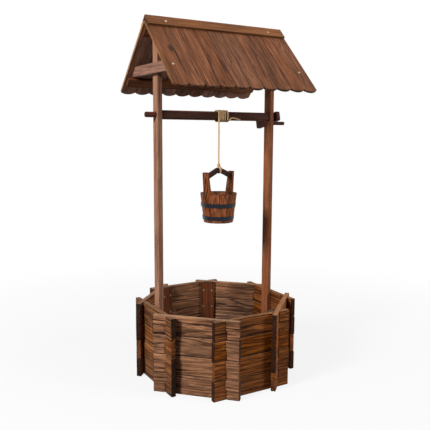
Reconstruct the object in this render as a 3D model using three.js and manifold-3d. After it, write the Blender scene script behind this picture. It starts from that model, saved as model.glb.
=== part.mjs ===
// Wishing well planter: an octagonal base of crossed boards, a gabled roof on two posts,
// and a windlass with a crank that lifts a small staved bucket on a rope.
// Millimetres, +Z up. X runs along the windlass with the crank at +X, and -Y is the front.
// The origin is on the ground, under the middle of the floor.

import * as THREE from "three";
import { mergeVertices } from "three/addons/utils/BufferGeometryUtils.js";
import Module from "manifold-3d";

const wasm = await Module();
wasm.setup();

// Overall sizes and fits
const overallHeight = 1346;
const clearWidth = 470;
const seat = 0.3;
const overrun = 10;
const sideCount = 8;
const roundSides = 24;
const mergeShare = 0.001;

// Base walls
const boardHeight = 72.4;
const boardThickness = 18;
const boardChamfer = 2;
const courseCount = 4;
const courseSeam = 0.6;
const webRecess = 4;
const stubLength = 49;
const battenWidth = 60;
const battenEdge = 8;

// Floor
const bearerHeight = 20;
const bearerWidth = 40;
const bearerSpacing = 130;
const slatThickness = 12;
const slatGap = 8;
const slatCount = 7;
const slatBite = 1;

// Posts
const postThickness = 18;
const postWidth = 41;

// Roof
const roofPitch = THREE.MathUtils.degToRad(45.4);
const capThickness = 9;
const capWidth = 47;
const capInset = 3.85;
const plankThickness = 9;
const plankWidth = 58.7;
const plankGap = 0.3;
const planksPerSlope = 10;
const slopeLength = 340;
const scallopDepth = 10;
const scallopSteps = 10;
const purlinThickness = 15;
const purlinWidth = 35;
const purlinInset = 7.85;
const tieHeight = 36;
const tieThickness = 18;
const tieDrop = 201.5;

// Windlass
const axleDrop = 143;
const barSize = 33;
const barChamfer = 7;
const barEndPlay = 1.5;
const tenonDiameter = 20;
const tenonClearance = 0.5;
const tenonChamfer = 2;
const pinReach = 40;
const armGap = 10;
const armThickness = 17.5;
const armWidth = 36;
const armFront = 26;
const armReach = 96;
const armBack = 26;
const armCorner = 4;
const armTilt = THREE.MathUtils.degToRad(-13.3);
const handleDiameter = 15;
const handleLength = 107;
const handleRound = 4;
const handleRoundSteps = 3;

// Rope
const ropeDiameter = 6;
const ropeGap = 0.9;
const ropeSides = 6;
const stepsPerTurn = 24;
const windingTurns = 6;
const looseTurns = 2;
const loosePitch = 11.8;
const hangX = 0.3;
const tailEntry = THREE.MathUtils.degToRad(60);
const tailAngle = THREE.MathUtils.degToRad(20);
const tailDroop = THREE.MathUtils.degToRad(22);
const tailBend = 12;
const tailLength = 41;
const tailLift = 1.5;
const tailSteps = 8;
const bendSteps = 6;
const ropeHang = 177;
const knotHeight = 15;
const knotDiameter = 15;
const knotThroatShare = 1.2;
const gapSearchShare = 4;
const dropSteps = 12;
const dropSides = 8;

// Bucket
const bucketTwist = THREE.MathUtils.degToRad(19.5);
const handleAboveRim = 99;
const bucketHeight = 112;
const rimDiameter = 141;
const footDiameter = 113;
const staveThickness = 9;
const staveCount = 12;
const stepsPerStave = 4;
const bottomThickness = 9;
const bottomRecess = 6;
const earHeight = 81;
const earTopWidth = 26;
const hoopHeight = 16;
const hoopThickness = 1.2;
const upperHoopDrop = 37;
const lowerHoopDrop = 86;
const handleThickness = 14;
const handleArmHeight = 18;
const loopRise = 0.5;
const handleRise = 26;
const handleNotchWidth = 14;
const handleNotchDepth = 4;
const loopSteps = 16;

// How far each board's stub reaches, from the front or lower end of the side, as a share of
// the stub length: the boards were cut by hand and no two ends line up.
const stubShares = [
  [1.0, 0.94, 1.03, 0.97],
  [0.96, 1.02, 0.98, 1.04],
  [1.03, 0.97, 1.0, 0.93],
  [0.98, 1.04, 0.95, 1.01],
  [1.02, 0.96, 1.04, 0.99],
  [0.97, 1.01, 0.94, 1.03],
  [1.01, 0.95, 1.03, 0.98],
  [0.95, 1.03, 0.99, 1.02],
];

// Derived sizes
const sideAngle = (2 * Math.PI) / sideCount;
const cornerAngle = sideAngle / 2;
const postInner = clearWidth / 2;
const postOuter = postInner + postThickness;
const wallInner = postOuter + seat;
const wallOuter = wallInner + boardThickness;
const halfSide = wallOuter * Math.tan(cornerAngle);
const wallTop = courseCount * boardHeight - courseSeam;
const plankDepth = capThickness + seat;
const purlinDepth = plankDepth + plankThickness + seat;
const underPurlin = purlinDepth + purlinThickness + seat;
const tieBottom = overallHeight - tieDrop;
const tieTop = tieBottom + tieHeight;
const axleHeight = tieBottom - axleDrop;
const knotTop = axleHeight - ropeHang;
const handlePeak = knotTop - knotHeight - loopRise;
const bucketRim = handlePeak - handleAboveRim;
const plankPitch = plankWidth + plankGap;
const roofLength = planksPerSlope * plankPitch - plankGap;
const capLength = roofLength - 2 * capInset;
const purlinLength = roofLength - 2 * purlinInset;
const ropeRadius = ropeDiameter / 2;
const ropePitch = ropeDiameter + ropeGap;
const hangY = -(barSize / 2 + seat + ropeRadius);
const bucketFoot = bucketRim - bucketHeight;
const earTop = bucketRim + earHeight;
const staveHalfAngle = Math.PI / staveCount;

// Materials
const finish = {
  wall: { color: 0x835a40, roughness: 0.8 },
  batten: { color: 0x7a4f30, roughness: 0.8 },
  floor: { color: 0x6b452c, roughness: 0.85 },
  post: { color: 0x8a5a3e, roughness: 0.75 },
  plank: { color: 0x7e5337, roughness: 0.75 },
  purlin: { color: 0x5b3420, roughness: 0.8 },
  tie: { color: 0x9a7160, roughness: 0.8 },
  cap: { color: 0x9c6a40, roughness: 0.75 },
  bar: { color: 0x3c2420, roughness: 0.7 },
  arm: { color: 0x4a2f26, roughness: 0.75 },
  handle: { color: 0x3f2a22, roughness: 0.7 },
  rope: { color: 0xc8af82, roughness: 0.95 },
  stave: { color: 0x8c5023, roughness: 0.65 },
  ear: { color: 0x5f3822, roughness: 0.7 },
  yoke: { color: 0x3a2420, roughness: 0.75 },
  hoop: { color: 0x23262b, roughness: 0.4, metalness: 0.8 },
};

function named(name, look, geometry) {
  const { color, roughness, metalness = 0 } = finish[look];
  const material = new THREE.MeshStandardMaterial({ color, roughness, metalness });
  const mesh = new THREE.Mesh(geometry, material);
  mesh.name = name;
  return mesh;
}

// Solids from closed geometries, for joining and cutting
function solidOf(geometry) {
  const bare = geometry.index ? geometry.toNonIndexed() : geometry.clone();
  for (const attribute of Object.keys(bare.attributes)) {
    if (attribute !== "position") bare.deleteAttribute(attribute);
  }
  const merged = mergeVertices(bare, seat * mergeShare);
  const mesh = new wasm.Mesh({
    numProp: 3,
    vertProperties: new Float32Array(merged.attributes.position.array),
    triVerts: new Uint32Array(merged.index.array),
  });
  return new wasm.Manifold(mesh);
}

function geometryOf(solid) {
  const mesh = solid.getMesh();
  const geometry = new THREE.BufferGeometry();
  geometry.setAttribute("position", new THREE.BufferAttribute(mesh.vertProperties, mesh.numProp));
  geometry.setIndex(new THREE.BufferAttribute(mesh.triVerts, 1));
  const flat = geometry.toNonIndexed();
  flat.computeVertexNormals();
  return flat;
}

function box(low, high) {
  const size = low.map((value, i) => high[i] - value);
  const middle = low.map((value, i) => (high[i] + value) / 2);
  return new THREE.BoxGeometry(...size).translate(...middle);
}

// A flat outline in the plane across X, drawn as (y, z) points and pushed along X
function alongX(shape, from, to) {
  const geometry = new THREE.ExtrudeGeometry(shape, {
    depth: to - from,
    bevelEnabled: false,
    curveSegments: roundSides,
  });
  const axes = new THREE.Matrix4().makeBasis(
    new THREE.Vector3(0, 1, 0),
    new THREE.Vector3(0, 0, 1),
    new THREE.Vector3(1, 0, 0),
  );
  return geometry.applyMatrix4(axes).translate(from, 0, 0);
}

function outline(points) {
  return new THREE.Shape(points.map(([u, v]) => new THREE.Vector2(u, v)));
}

function roundHole(u, v, radius) {
  const hole = new THREE.Path();
  hole.absarc(u, v, radius, 0, 2 * Math.PI, true);
  return hole;
}

function rodAlongX(radius, from, to, chamfer = 0) {
  const length = to - from;
  const profile = [
    [0, 0],
    [radius - chamfer, 0],
    [radius, chamfer],
    [radius, length - chamfer],
    [radius - chamfer, length],
    [0, length],
  ];
  const kept = chamfer > 0 ? profile : profile.filter((_, i) => i !== 1 && i !== 4);
  const points = kept.map(([r, h]) => new THREE.Vector2(r, h));
  const rod = new THREE.LatheGeometry(points, roundSides);
  return rod.rotateZ(-Math.PI / 2).translate(from, 0, 0);
}

// A closed surface through rings of equal point count, counter-clockwise as seen from the end
function skin(rings) {
  const count = rings[0].length;
  const positions = rings.flat().flatMap((p) => [p.x, p.y, p.z]);
  const faces = [];
  for (let ring = 0; ring + 1 < rings.length; ring++) {
    for (let i = 0; i < count; i++) {
      const a = ring * count + i;
      const b = ring * count + ((i + 1) % count);
      faces.push(a, b, b + count, a, b + count, a + count);
    }
  }
  const last = (rings.length - 1) * count;
  for (let i = 1; i + 1 < count; i++) {
    faces.push(0, i + 1, i);
    faces.push(last, last + i, last + i + 1);
  }
  const geometry = new THREE.BufferGeometry();
  geometry.setAttribute("position", new THREE.Float32BufferAttribute(positions, 3));
  geometry.setIndex(faces);
  const flat = geometry.toNonIndexed();
  flat.computeVertexNormals();
  return flat;
}

// Base walls

// One board of a side whose outer face looks along +X
function wallBoard(side, course) {
  const bottom = course * boardHeight;
  const top = bottom + boardHeight - courseSeam;
  const c = boardChamfer;
  const section = outline([
    [wallInner + c, bottom],
    [wallOuter - c, bottom],
    [wallOuter, bottom + c],
    [wallOuter, top - c],
    [wallOuter - c, top],
    [wallInner + c, top],
    [wallInner, top - c],
    [wallInner, bottom + c],
  ]);
  const shares = stubShares[side];
  const startReach = halfSide + stubLength * shares[course];
  const endReach = halfSide + stubLength * shares[courseCount - 1 - course];
  const board = new THREE.ExtrudeGeometry(section, {
    depth: startReach + endReach,
    bevelEnabled: false,
  });
  // The outline's (x, z) goes to world X and Z, and the push goes along -Y.
  return board.rotateX(Math.PI / 2).translate(0, endReach, 0);
}

// The space that the next side's board takes where it crosses this one
function lapCutter(turn, low, high) {
  const reach = wallOuter * 2;
  const slab = box([wallInner - seat, -reach, low], [wallOuter + seat, reach, high]);
  return solidOf(slab.rotateZ(turn));
}

function wallSide(side) {
  const shares = stubShares[side];
  const webReach = halfSide + stubLength * Math.min(...shares) - webRecess;
  const web = box(
    [wallInner + webRecess, -webReach, boardChamfer],
    [wallOuter - webRecess, webReach, wallTop - boardChamfer],
  );
  let panel = solidOf(web);
  for (let course = 0; course < courseCount; course++) {
    panel = panel.add(solidOf(wallBoard(side, course)));
  }
  const upperNotch = side % 2 === 0;
  for (let course = 0; course < courseCount; course++) {
    const bottom = course * boardHeight;
    const middle = bottom + (boardHeight - courseSeam) / 2;
    const isTop = course === courseCount - 1;
    const below = course === 0 ? bottom - overrun : bottom - courseSeam;
    const above = isTop ? wallTop + overrun : bottom + boardHeight;
    const low = upperNotch ? middle - seat / 2 : below;
    const high = upperNotch ? above : middle + seat / 2;
    for (const turn of [sideAngle, -sideAngle]) {
      panel = panel.subtract(lapCutter(turn, low, high));
    }
  }
  return geometryOf(panel);
}

// Corner battens fill the inside corners that aren't beside a post, with a flat face towards
// the middle. The posts stand on side 0 and the opposite side, and corner 0 lies between
// sides 0 and 1.
const battenCorners = Array.from({ length: sideCount }, (_, corner) => corner).filter(
  (corner) => corner % (sideCount / 2) && (corner + 1) % (sideCount / 2),
);
const battenApex = (wallInner - seat) / Math.cos(cornerAngle);
const battenBack = battenApex - (battenWidth / 2) * Math.tan(cornerAngle);
const battenFace = battenBack - battenEdge;

function cornerBatten() {
  const half = battenWidth / 2;
  const section = outline([
    [battenFace, -half],
    [battenBack, -half],
    [battenApex, 0],
    [battenBack, half],
    [battenFace, half],
  ]);
  return new THREE.ExtrudeGeometry(section, { depth: wallTop, bevelEnabled: false });
}

// Floor outline: the walls' inner faces with the corners cut off at the battens
function floorOutline() {
  const lines = [];
  for (let side = 0; side < sideCount; side++) {
    lines.push({ angle: side * sideAngle, reach: wallInner - seat });
    if (battenCorners.includes(side)) {
      lines.push({ angle: side * sideAngle + cornerAngle, reach: battenFace - seat });
    }
  }
  const points = lines.map((a, i) => {
    const b = lines[(i + 1) % lines.length];
    const spread = Math.sin(b.angle - a.angle);
    const x = (a.reach * Math.sin(b.angle) - b.reach * Math.sin(a.angle)) / spread;
    const y = (b.reach * Math.cos(a.angle) - a.reach * Math.cos(b.angle)) / spread;
    return [x, y];
  });
  return outline(points);
}

function floorFrame() {
  const reach = wallInner + overrun;
  const topLevel = bearerHeight + slatThickness;
  const slatWidth = (2 * (wallInner - seat) - (slatCount - 1) * slatGap) / slatCount;
  let floor = null;
  const addBlock = (low, high) => {
    const block = solidOf(box(low, high));
    floor = floor ? floor.add(block) : block;
  };
  for (const x of [-bearerSpacing, 0, bearerSpacing]) {
    addBlock(
      [x - bearerWidth / 2, -reach, 0],
      [x + bearerWidth / 2, reach, bearerHeight + slatBite],
    );
  }
  for (let i = 0; i < slatCount; i++) {
    const y = (i - (slatCount - 1) / 2) * (slatWidth + slatGap);
    addBlock([-reach, y - slatWidth / 2, bearerHeight], [reach, y + slatWidth / 2, topLevel]);
  }
  const plate = new THREE.ExtrudeGeometry(floorOutline(), {
    depth: topLevel + 2 * overrun,
    bevelEnabled: false,
  });
  floor = floor.intersect(solidOf(plate.translate(0, 0, -overrun)));
  for (const end of [-1, 1]) {
    const near = (postInner - seat) * end;
    const far = reach * end;
    const notch = box(
      [Math.min(near, far), -postWidth / 2 - seat, -overrun],
      [Math.max(near, far), postWidth / 2 + seat, topLevel + overrun],
    );
    floor = floor.subtract(solidOf(notch));
  }
  return geometryOf(floor);
}

// Posts, pointed under the ridge purlins and bored for the windlass
function post(end) {
  const half = postWidth / 2;
  const peak = overallHeight - underPurlin / Math.cos(roofPitch);
  const shoulder = peak - half * Math.tan(roofPitch);
  const shape = outline([
    [-half, 0],
    [half, 0],
    [half, shoulder],
    [0, peak],
    [-half, shoulder],
  ]);
  shape.holes.push(roundHole(0, axleHeight, tenonDiameter / 2 + tenonClearance));
  const near = end < 0 ? -postOuter : postInner;
  return alongX(shape, near, near + postThickness);
}

function tieBeam(end) {
  const drop = purlinDepth / Math.cos(roofPitch);
  const reachAt = (z) => (overallHeight - drop - z) / Math.tan(roofPitch);
  const shape = outline([
    [-reachAt(tieBottom), tieBottom],
    [reachAt(tieBottom), tieBottom],
    [reachAt(tieTop), tieTop],
    [-reachAt(tieTop), tieTop],
  ]);
  const near = end < 0 ? -(postOuter + seat + tieThickness) : postOuter + seat;
  return alongX(shape, near, near + tieThickness);
}

// Roof pieces are drawn on the front slope: Y runs down the slope from the ridge line,
// and Z goes in from the cap's outer face.
function capBoard() {
  const shape = outline([
    [seat / 2, 0],
    [capWidth, 0],
    [capWidth, capThickness],
    [capThickness * Math.tan(roofPitch) + seat / 2, capThickness],
  ]);
  return alongX(shape, -capLength / 2, capLength / 2);
}

function plank() {
  const start = (plankDepth + plankThickness) * Math.tan(roofPitch) + seat;
  const half = plankWidth / 2;
  const radius = (half * half + scallopDepth * scallopDepth) / (2 * scallopDepth);
  const centre = slopeLength + scallopDepth - radius;
  const spread = Math.asin(half / radius);
  const shape = new THREE.Shape();
  shape.moveTo(-half, start);
  shape.lineTo(half, start);
  shape.lineTo(half, slopeLength);
  shape.absarc(0, centre, radius, Math.PI / 2 - spread, Math.PI / 2 + spread, false);
  shape.closePath();
  const geometry = new THREE.ExtrudeGeometry(shape, {
    depth: plankThickness,
    bevelEnabled: false,
    curveSegments: scallopSteps,
  });
  return geometry.translate(0, 0, plankDepth);
}

function purlin(start) {
  const half = purlinLength / 2;
  return box(
    [-half, start, purlinDepth],
    [half, start + purlinWidth, purlinDepth + purlinThickness],
  );
}

const ridgePurlinStart = (purlinDepth + purlinThickness) * Math.tan(roofPitch) + seat;
const tieSeat = overallHeight - (tieBottom - seat);
const eavePurlinStart = (tieSeat - purlinDepth * Math.cos(roofPitch)) / Math.sin(roofPitch);

function roofSlope(name, turn) {
  const slope = new THREE.Group();
  slope.position.z = overallHeight;
  slope.rotation.x = Math.PI + roofPitch;
  slope.add(named(`ridge_cap_${name}`, "cap", capBoard()));
  slope.add(named(`ridge_purlin_${name}`, "purlin", purlin(ridgePurlinStart)));
  slope.add(named(`eave_purlin_${name}`, "purlin", purlin(eavePurlinStart)));
  for (let i = 0; i < planksPerSlope; i++) {
    const number = turn === 0 ? i + 1 : planksPerSlope - i;
    const board = named(`plank_${name}_${String(number).padStart(2, "0")}`, "plank", plank());
    board.position.x = (i - (planksPerSlope - 1) / 2) * plankPitch;
    slope.add(board);
  }
  const facing = new THREE.Group();
  facing.rotation.z = turn;
  facing.add(slope);
  return facing;
}

// Windlass, drawn about its own axis

function windlassBar() {
  const half = barSize / 2;
  const flat = half - barChamfer;
  const section = outline([
    [-flat, -half],
    [flat, -half],
    [half, -flat],
    [half, flat],
    [flat, half],
    [-flat, half],
    [-half, flat],
    [-half, -flat],
  ]);
  const barEnd = postInner - barEndPlay;
  const radius = tenonDiameter / 2;
  const leftEnd = -(postOuter + pinReach);
  const rightEnd = postOuter + armGap + armThickness;
  const body = solidOf(alongX(section, -barEnd, barEnd));
  const leftPin = solidOf(rodAlongX(radius, leftEnd, -barEnd + overrun, tenonChamfer));
  const rightPin = solidOf(rodAlongX(radius, barEnd - overrun, rightEnd, tenonChamfer));
  return geometryOf(body.add(leftPin).add(rightPin));
}

function crankArm() {
  const half = armWidth / 2;
  const c = armCorner;
  const back = armReach + armBack;
  const shape = outline([
    [-armFront + c, -half],
    [back - c, -half],
    [back, -half + c],
    [back, half - c],
    [back - c, half],
    [-armFront + c, half],
    [-armFront, half - c],
    [-armFront, -half + c],
  ]);
  shape.holes.push(roundHole(0, 0, tenonDiameter / 2 + seat));
  shape.holes.push(roundHole(armReach, 0, handleDiameter / 2 + seat));
  const near = postOuter + armGap;
  return alongX(shape, near, near + armThickness);
}

function crankHandle() {
  const near = postOuter + armGap;
  const length = armThickness + handleLength;
  const radius = handleDiameter / 2;
  const profile = new THREE.Path();
  profile.moveTo(0, 0);
  profile.lineTo(radius, 0);
  profile.lineTo(radius, length - handleRound);
  profile.absarc(radius - handleRound, length - handleRound, handleRound, 0, Math.PI / 2, false);
  profile.lineTo(0, length);
  const rod = new THREE.LatheGeometry(profile.getPoints(handleRoundSteps), roundSides);
  return rod.rotateZ(-Math.PI / 2).translate(near, 0, 0);
}

// Rope

// Distance from the bar's axis to the rope's centreline where the rope lies on the bar:
// the bar's outline of four flats and four chamfers, moved out by the rope's radius.
function wrapRadius(angle) {
  const flat = barSize / 2 + seat + ropeRadius;
  const chamfer = (barSize - barChamfer) / Math.SQRT2 + seat + ropeRadius;
  const eighth = Math.PI / 4;
  const toFlat = Math.abs(THREE.MathUtils.euclideanModulo(angle + eighth, 2 * eighth) - eighth);
  const toChamfer = eighth - toFlat;
  return Math.min(flat / Math.cos(toFlat), chamfer / Math.cos(toChamfer));
}

// A point beside the bar: angle 0 is the front, and growing angles go down and under it
function besideBar(x, angle, radius) {
  return new THREE.Vector3(x, -radius * Math.cos(angle), -radius * Math.sin(angle));
}

const entryTurn = tailEntry / (2 * Math.PI);

// Place along the bar at a count of turns from the tail's end. The first turn at the tail
// lies apart from the packed ones.
function windingX(turn) {
  const packedRight = hangX + (windingTurns - looseTurns) * ropePitch;
  if (turn >= looseTurns) return hangX + (windingTurns - turn) * ropePitch;
  if (turn >= 1) return packedRight + (looseTurns - turn) * loosePitch;
  return packedRight + loosePitch + (1 - turn) * ropePitch;
}

function windingPath() {
  const points = [];
  const right = windingX(entryTurn);
  for (let i = 0; i < tailSteps; i++) {
    const rest = 1 - i / tailSteps;
    const angle = tailAngle + tailDroop * rest * rest;
    const x = right + tailBend + tailLength * rest;
    points.push(besideBar(x, angle, wrapRadius(angle) + tailLift));
  }
  for (let i = 0; i < bendSteps; i++) {
    const beta = ((i / bendSteps) * Math.PI) / 2;
    const angle = tailEntry - (tailEntry - tailAngle) * Math.cos(beta);
    const x = right + tailBend * (1 - Math.sin(beta));
    points.push(besideBar(x, angle, wrapRadius(angle) + tailLift * Math.cos(beta)));
  }
  const steps = Math.round((windingTurns - entryTurn) * stepsPerTurn);
  for (let i = 0; i <= steps; i++) {
    const turn = entryTurn + ((windingTurns - entryTurn) * i) / steps;
    const angle = turn * 2 * Math.PI;
    points.push(besideBar(windingX(turn), angle, wrapRadius(angle)));
  }
  const end = points[points.length - 1].clone();
  end.z -= ropeDiameter;
  points.push(end);
  return points;
}

// A tube of flat sides along a path, each ring square to the path and turned to the bar's axis
function ropeAlong(points, sides, towards) {
  const rings = points.map((point, i) => {
    const before = points[Math.max(i - 1, 0)];
    const after = points[Math.min(i + 1, points.length - 1)];
    const tangent = after.clone().sub(before).normalize();
    const out = towards(point).addScaledVector(tangent, -towards(point).dot(tangent)).normalize();
    const side = new THREE.Vector3().crossVectors(tangent, out);
    return Array.from({ length: sides }, (_, k) => {
      const angle = (2 * Math.PI * k) / sides;
      return point
        .clone()
        .addScaledVector(out, ropeRadius * Math.cos(angle))
        .addScaledVector(side, ropeRadius * Math.sin(angle));
    });
  });
  return skin(rings);
}

function leastGap(points) {
  let least = Infinity;
  const along = [0];
  for (let i = 1; i < points.length; i++) {
    along.push(along[i - 1] + points[i].distanceTo(points[i - 1]));
  }
  const far = ropeDiameter * gapSearchShare;
  for (let i = 0; i < points.length; i++) {
    for (let j = i + 1; j < points.length; j++) {
      if (along[j] - along[i] < far) continue;
      least = Math.min(least, points[i].distanceTo(points[j]) - ropeDiameter);
    }
  }
  return least;
}

function ropeWinding() {
  const points = windingPath();
  console.log(`rope winding: least gap to itself ${leastGap(points).toFixed(2)} mm`);
  return ropeAlong(points, ropeSides, (p) => new THREE.Vector3(0, p.y, p.z).normalize());
}

function ropeDrop() {
  const top = axleHeight - ropeDiameter - seat;
  const bottom = knotTop + seat;
  const path = new THREE.LineCurve3(
    new THREE.Vector3(hangX, hangY, bottom),
    new THREE.Vector3(hangX, hangY, top),
  );
  const section = new THREE.Shape();
  for (let i = 0; i < dropSides; i++) {
    const angle = (2 * Math.PI * i) / dropSides;
    const u = ropeRadius * Math.cos(angle);
    const v = ropeRadius * Math.sin(angle);
    if (i === 0) section.moveTo(u, v);
    else section.lineTo(u, v);
  }
  section.closePath();
  return new THREE.ExtrudeGeometry(section, { steps: dropSteps, extrudePath: path });
}

function ropeKnot() {
  const bottom = knotTop - knotHeight;
  const wide = knotDiameter / 2;
  const profile = [
    [0, 0],
    [wide, 0],
    [wide, ropeRadius],
    [ropeRadius * knotThroatShare, knotHeight],
    [0, knotHeight],
  ].map(([r, h]) => new THREE.Vector2(r, h));
  const geometry = new THREE.LatheGeometry(profile, roundSides);
  return geometry.rotateX(Math.PI / 2).translate(hangX, hangY, bottom);
}

// Bucket, drawn about its own axis with the ears along X

function radiusAt(z, inset) {
  const share = (z - bucketFoot) / bucketHeight;
  return footDiameter / 2 + ((rimDiameter - footDiameter) / 2) * share - inset;
}

function bucketCup() {
  const bottomTop = bucketFoot + bottomRecess + bottomThickness;
  const bottomUnder = bucketFoot + bottomRecess;
  const profile = [
    [0, bottomUnder],
    [radiusAt(bottomUnder, staveThickness), bottomUnder],
    [radiusAt(bucketFoot, staveThickness), bucketFoot],
    [radiusAt(bucketFoot, 0), bucketFoot],
    [radiusAt(bucketRim, 0), bucketRim],
    [radiusAt(bucketRim, staveThickness), bucketRim],
    [radiusAt(bottomTop, staveThickness), bottomTop],
    [0, bottomTop],
  ].map(([r, z]) => new THREE.Vector2(r, z));
  return new THREE.LatheGeometry(profile, staveCount * stepsPerStave).rotateX(Math.PI / 2);
}

// One stave's outline at a height: an arc outside and a straight chord inside
function staveRing(z, halfAngle, inset, outset, halfWidth) {
  const outer = radiusAt(z, 0) + outset;
  const inner = (radiusAt(z, staveThickness) - inset) * Math.cos(staveHalfAngle);
  const reach = halfWidth === undefined ? halfAngle : Math.asin(halfWidth / outer);
  const ring = [];
  for (let i = 0; i <= stepsPerStave; i++) {
    const angle = reach * (-1 + (2 * i) / stepsPerStave);
    ring.push(new THREE.Vector3(outer * Math.cos(angle), outer * Math.sin(angle), z));
  }
  const innerHalf = inner * Math.tan(reach);
  ring.push(new THREE.Vector3(inner, innerHalf, z));
  ring.push(new THREE.Vector3(inner, -innerHalf, z));
  return ring;
}

function earStave() {
  const trim = seat / 2 / (rimDiameter / 2);
  return skin([
    staveRing(bucketFoot, staveHalfAngle - trim, 0, 0),
    staveRing(bucketRim, staveHalfAngle - trim, 0, 0),
    staveRing(earTop, staveHalfAngle, 0, 0, earTopWidth / 2),
  ]);
}

function earSlot() {
  const trim = seat / 2 / (footDiameter / 2);
  return solidOf(
    skin([
      staveRing(bucketFoot - overrun, staveHalfAngle + trim, seat, overrun),
      staveRing(bucketRim + overrun, staveHalfAngle + trim, seat, overrun),
    ]),
  );
}

function bucketBody() {
  const slot = earSlot();
  const opposite = solidOf(geometryOf(earSlot()).rotateZ(Math.PI));
  return geometryOf(solidOf(bucketCup()).subtract(slot).subtract(opposite));
}

function hoop(drop) {
  const top = bucketRim - drop;
  const bottom = top - hoopHeight;
  const profile = [
    [radiusAt(bottom, -seat), bottom],
    [radiusAt(bottom, -seat - hoopThickness), bottom],
    [radiusAt(top, -seat - hoopThickness), top],
    [radiusAt(top, -seat), top],
    [radiusAt(bottom, -seat), bottom],
  ].map(([r, z]) => new THREE.Vector2(r, z));
  return new THREE.LatheGeometry(profile, staveCount * stepsPerStave).rotateX(Math.PI / 2);
}

// The handle is a shallow roof between the ears, notched on top where the rope goes round it
function bucketHandle() {
  const reachAt = (z) => radiusAt(z, staveThickness) * Math.cos(staveHalfAngle) - seat;
  const endTop = handlePeak - handleRise;
  const endBottom = endTop - handleArmHeight;
  const half = handleNotchWidth / 2;
  const shoulder = handlePeak - (handleRise * half) / reachAt(endTop);
  const notchFloor = handlePeak - handleNotchDepth - (handlePeak - shoulder);
  const shape = outline([
    [-reachAt(endBottom), endBottom],
    [0, handlePeak - handleArmHeight],
    [reachAt(endBottom), endBottom],
    [reachAt(endTop), endTop],
    [half, shoulder],
    [half, notchFloor],
    [-half, notchFloor],
    [-half, shoulder],
    [-reachAt(endTop), endTop],
  ]);
  const geometry = new THREE.ExtrudeGeometry(shape, {
    depth: handleThickness,
    bevelEnabled: false,
  });
  return geometry.rotateX(Math.PI / 2).translate(0, handleThickness / 2, 0);
}

// The middle line of the rope's loop, which goes round the handle's notch and under the knot
function ropeLoop() {
  const armDrop = (ropeRadius * handleRise) / (rimDiameter / 2 - staveThickness);
  const under = handlePeak - handleArmHeight - armDrop - ropeRadius - seat;
  const top = knotTop - knotHeight - seat - ropeRadius;
  const halfWide = handleThickness / 2 + seat + ropeRadius;
  const middle = (under + top) / 2;
  const halfHigh = (top - under) / 2;
  const points = [];
  for (let i = 0; i < loopSteps; i++) {
    const angle = (2 * Math.PI * i) / loopSteps;
    const corner = Math.max(Math.abs(Math.cos(angle)), Math.abs(Math.sin(angle)));
    const y = (halfWide * Math.cos(angle)) / corner;
    const z = (halfHigh * Math.sin(angle)) / corner;
    points.push(new THREE.Vector3(0, y, middle + z));
  }
  return points;
}

function closedRope(points, sides) {
  const count = points.length;
  const positions = [];
  const faces = [];
  points.forEach((point, i) => {
    const before = points[(i + count - 1) % count];
    const after = points[(i + 1) % count];
    const tangent = after.clone().sub(before).normalize();
    const side = new THREE.Vector3(1, 0, 0);
    const out = new THREE.Vector3().crossVectors(side, tangent).normalize();
    for (let k = 0; k < sides; k++) {
      const angle = (2 * Math.PI * k) / sides;
      const p = point
        .clone()
        .addScaledVector(out, ropeRadius * Math.cos(angle))
        .addScaledVector(side, ropeRadius * Math.sin(angle));
      positions.push(p.x, p.y, p.z);
      const a = i * sides + k;
      const b = i * sides + ((k + 1) % sides);
      const c = ((i + 1) % count) * sides + ((k + 1) % sides);
      const d = ((i + 1) % count) * sides + k;
      faces.push(a, b, c, a, c, d);
    }
  });
  const geometry = new THREE.BufferGeometry();
  geometry.setAttribute("position", new THREE.Float32BufferAttribute(positions, 3));
  geometry.setIndex(faces);
  const flat = geometry.toNonIndexed();
  flat.computeVertexNormals();
  return flat;
}

// Assembly
const well = new THREE.Group();

const sideNames = [
  "right",
  "back_right",
  "back",
  "back_left",
  "left",
  "front_left",
  "front",
  "front_right",
];
sideNames.forEach((name, side) => {
  const wall = named(`wall_${name}`, "wall", wallSide(side));
  wall.rotation.z = side * sideAngle;
  well.add(wall);
});
battenCorners.forEach((corner, i) => {
  const batten = named(`corner_batten_${i + 1}`, "batten", cornerBatten());
  batten.rotation.z = corner * sideAngle + cornerAngle;
  well.add(batten);
});
well.add(named("floor_frame", "floor", floorFrame()));

for (const [name, end] of [
  ["left", -1],
  ["right", 1],
]) {
  well.add(named(`post_${name}`, "post", post(end)));
  well.add(named(`tie_beam_${name}`, "tie", tieBeam(end)));
}
well.add(roofSlope("front", 0));
well.add(roofSlope("back", Math.PI));

const windlass = new THREE.Group();
windlass.position.z = axleHeight;
windlass.add(named("windlass_bar", "bar", windlassBar()));
windlass.add(named("rope_winding", "rope", ropeWinding()));
const crank = new THREE.Group();
crank.rotation.x = armTilt;
crank.add(named("crank_arm", "arm", crankArm()));
const crankHandleMesh = named("crank_handle", "handle", crankHandle());
crankHandleMesh.position.y = armReach;
crank.add(crankHandleMesh);
windlass.add(crank);
well.add(windlass);

well.add(named("rope_drop", "rope", ropeDrop()));
well.add(named("rope_knot", "rope", ropeKnot()));

const bucket = new THREE.Group();
bucket.position.set(hangX, hangY, 0);
bucket.rotation.z = bucketTwist;
bucket.add(named("bucket_body", "stave", bucketBody()));
for (const [name, turn] of [
  ["right", 0],
  ["left", Math.PI],
]) {
  const ear = named(`bucket_ear_${name}`, "ear", earStave());
  ear.rotation.z = turn;
  bucket.add(ear);
}
bucket.add(named("bucket_hoop_upper", "hoop", hoop(upperHoopDrop)));
bucket.add(named("bucket_hoop_lower", "hoop", hoop(lowerHoopDrop)));
bucket.add(named("bucket_handle", "yoke", bucketHandle()));
bucket.add(named("rope_loop", "rope", closedRope(ropeLoop(), ropeSides)));
well.add(bucket);

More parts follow.
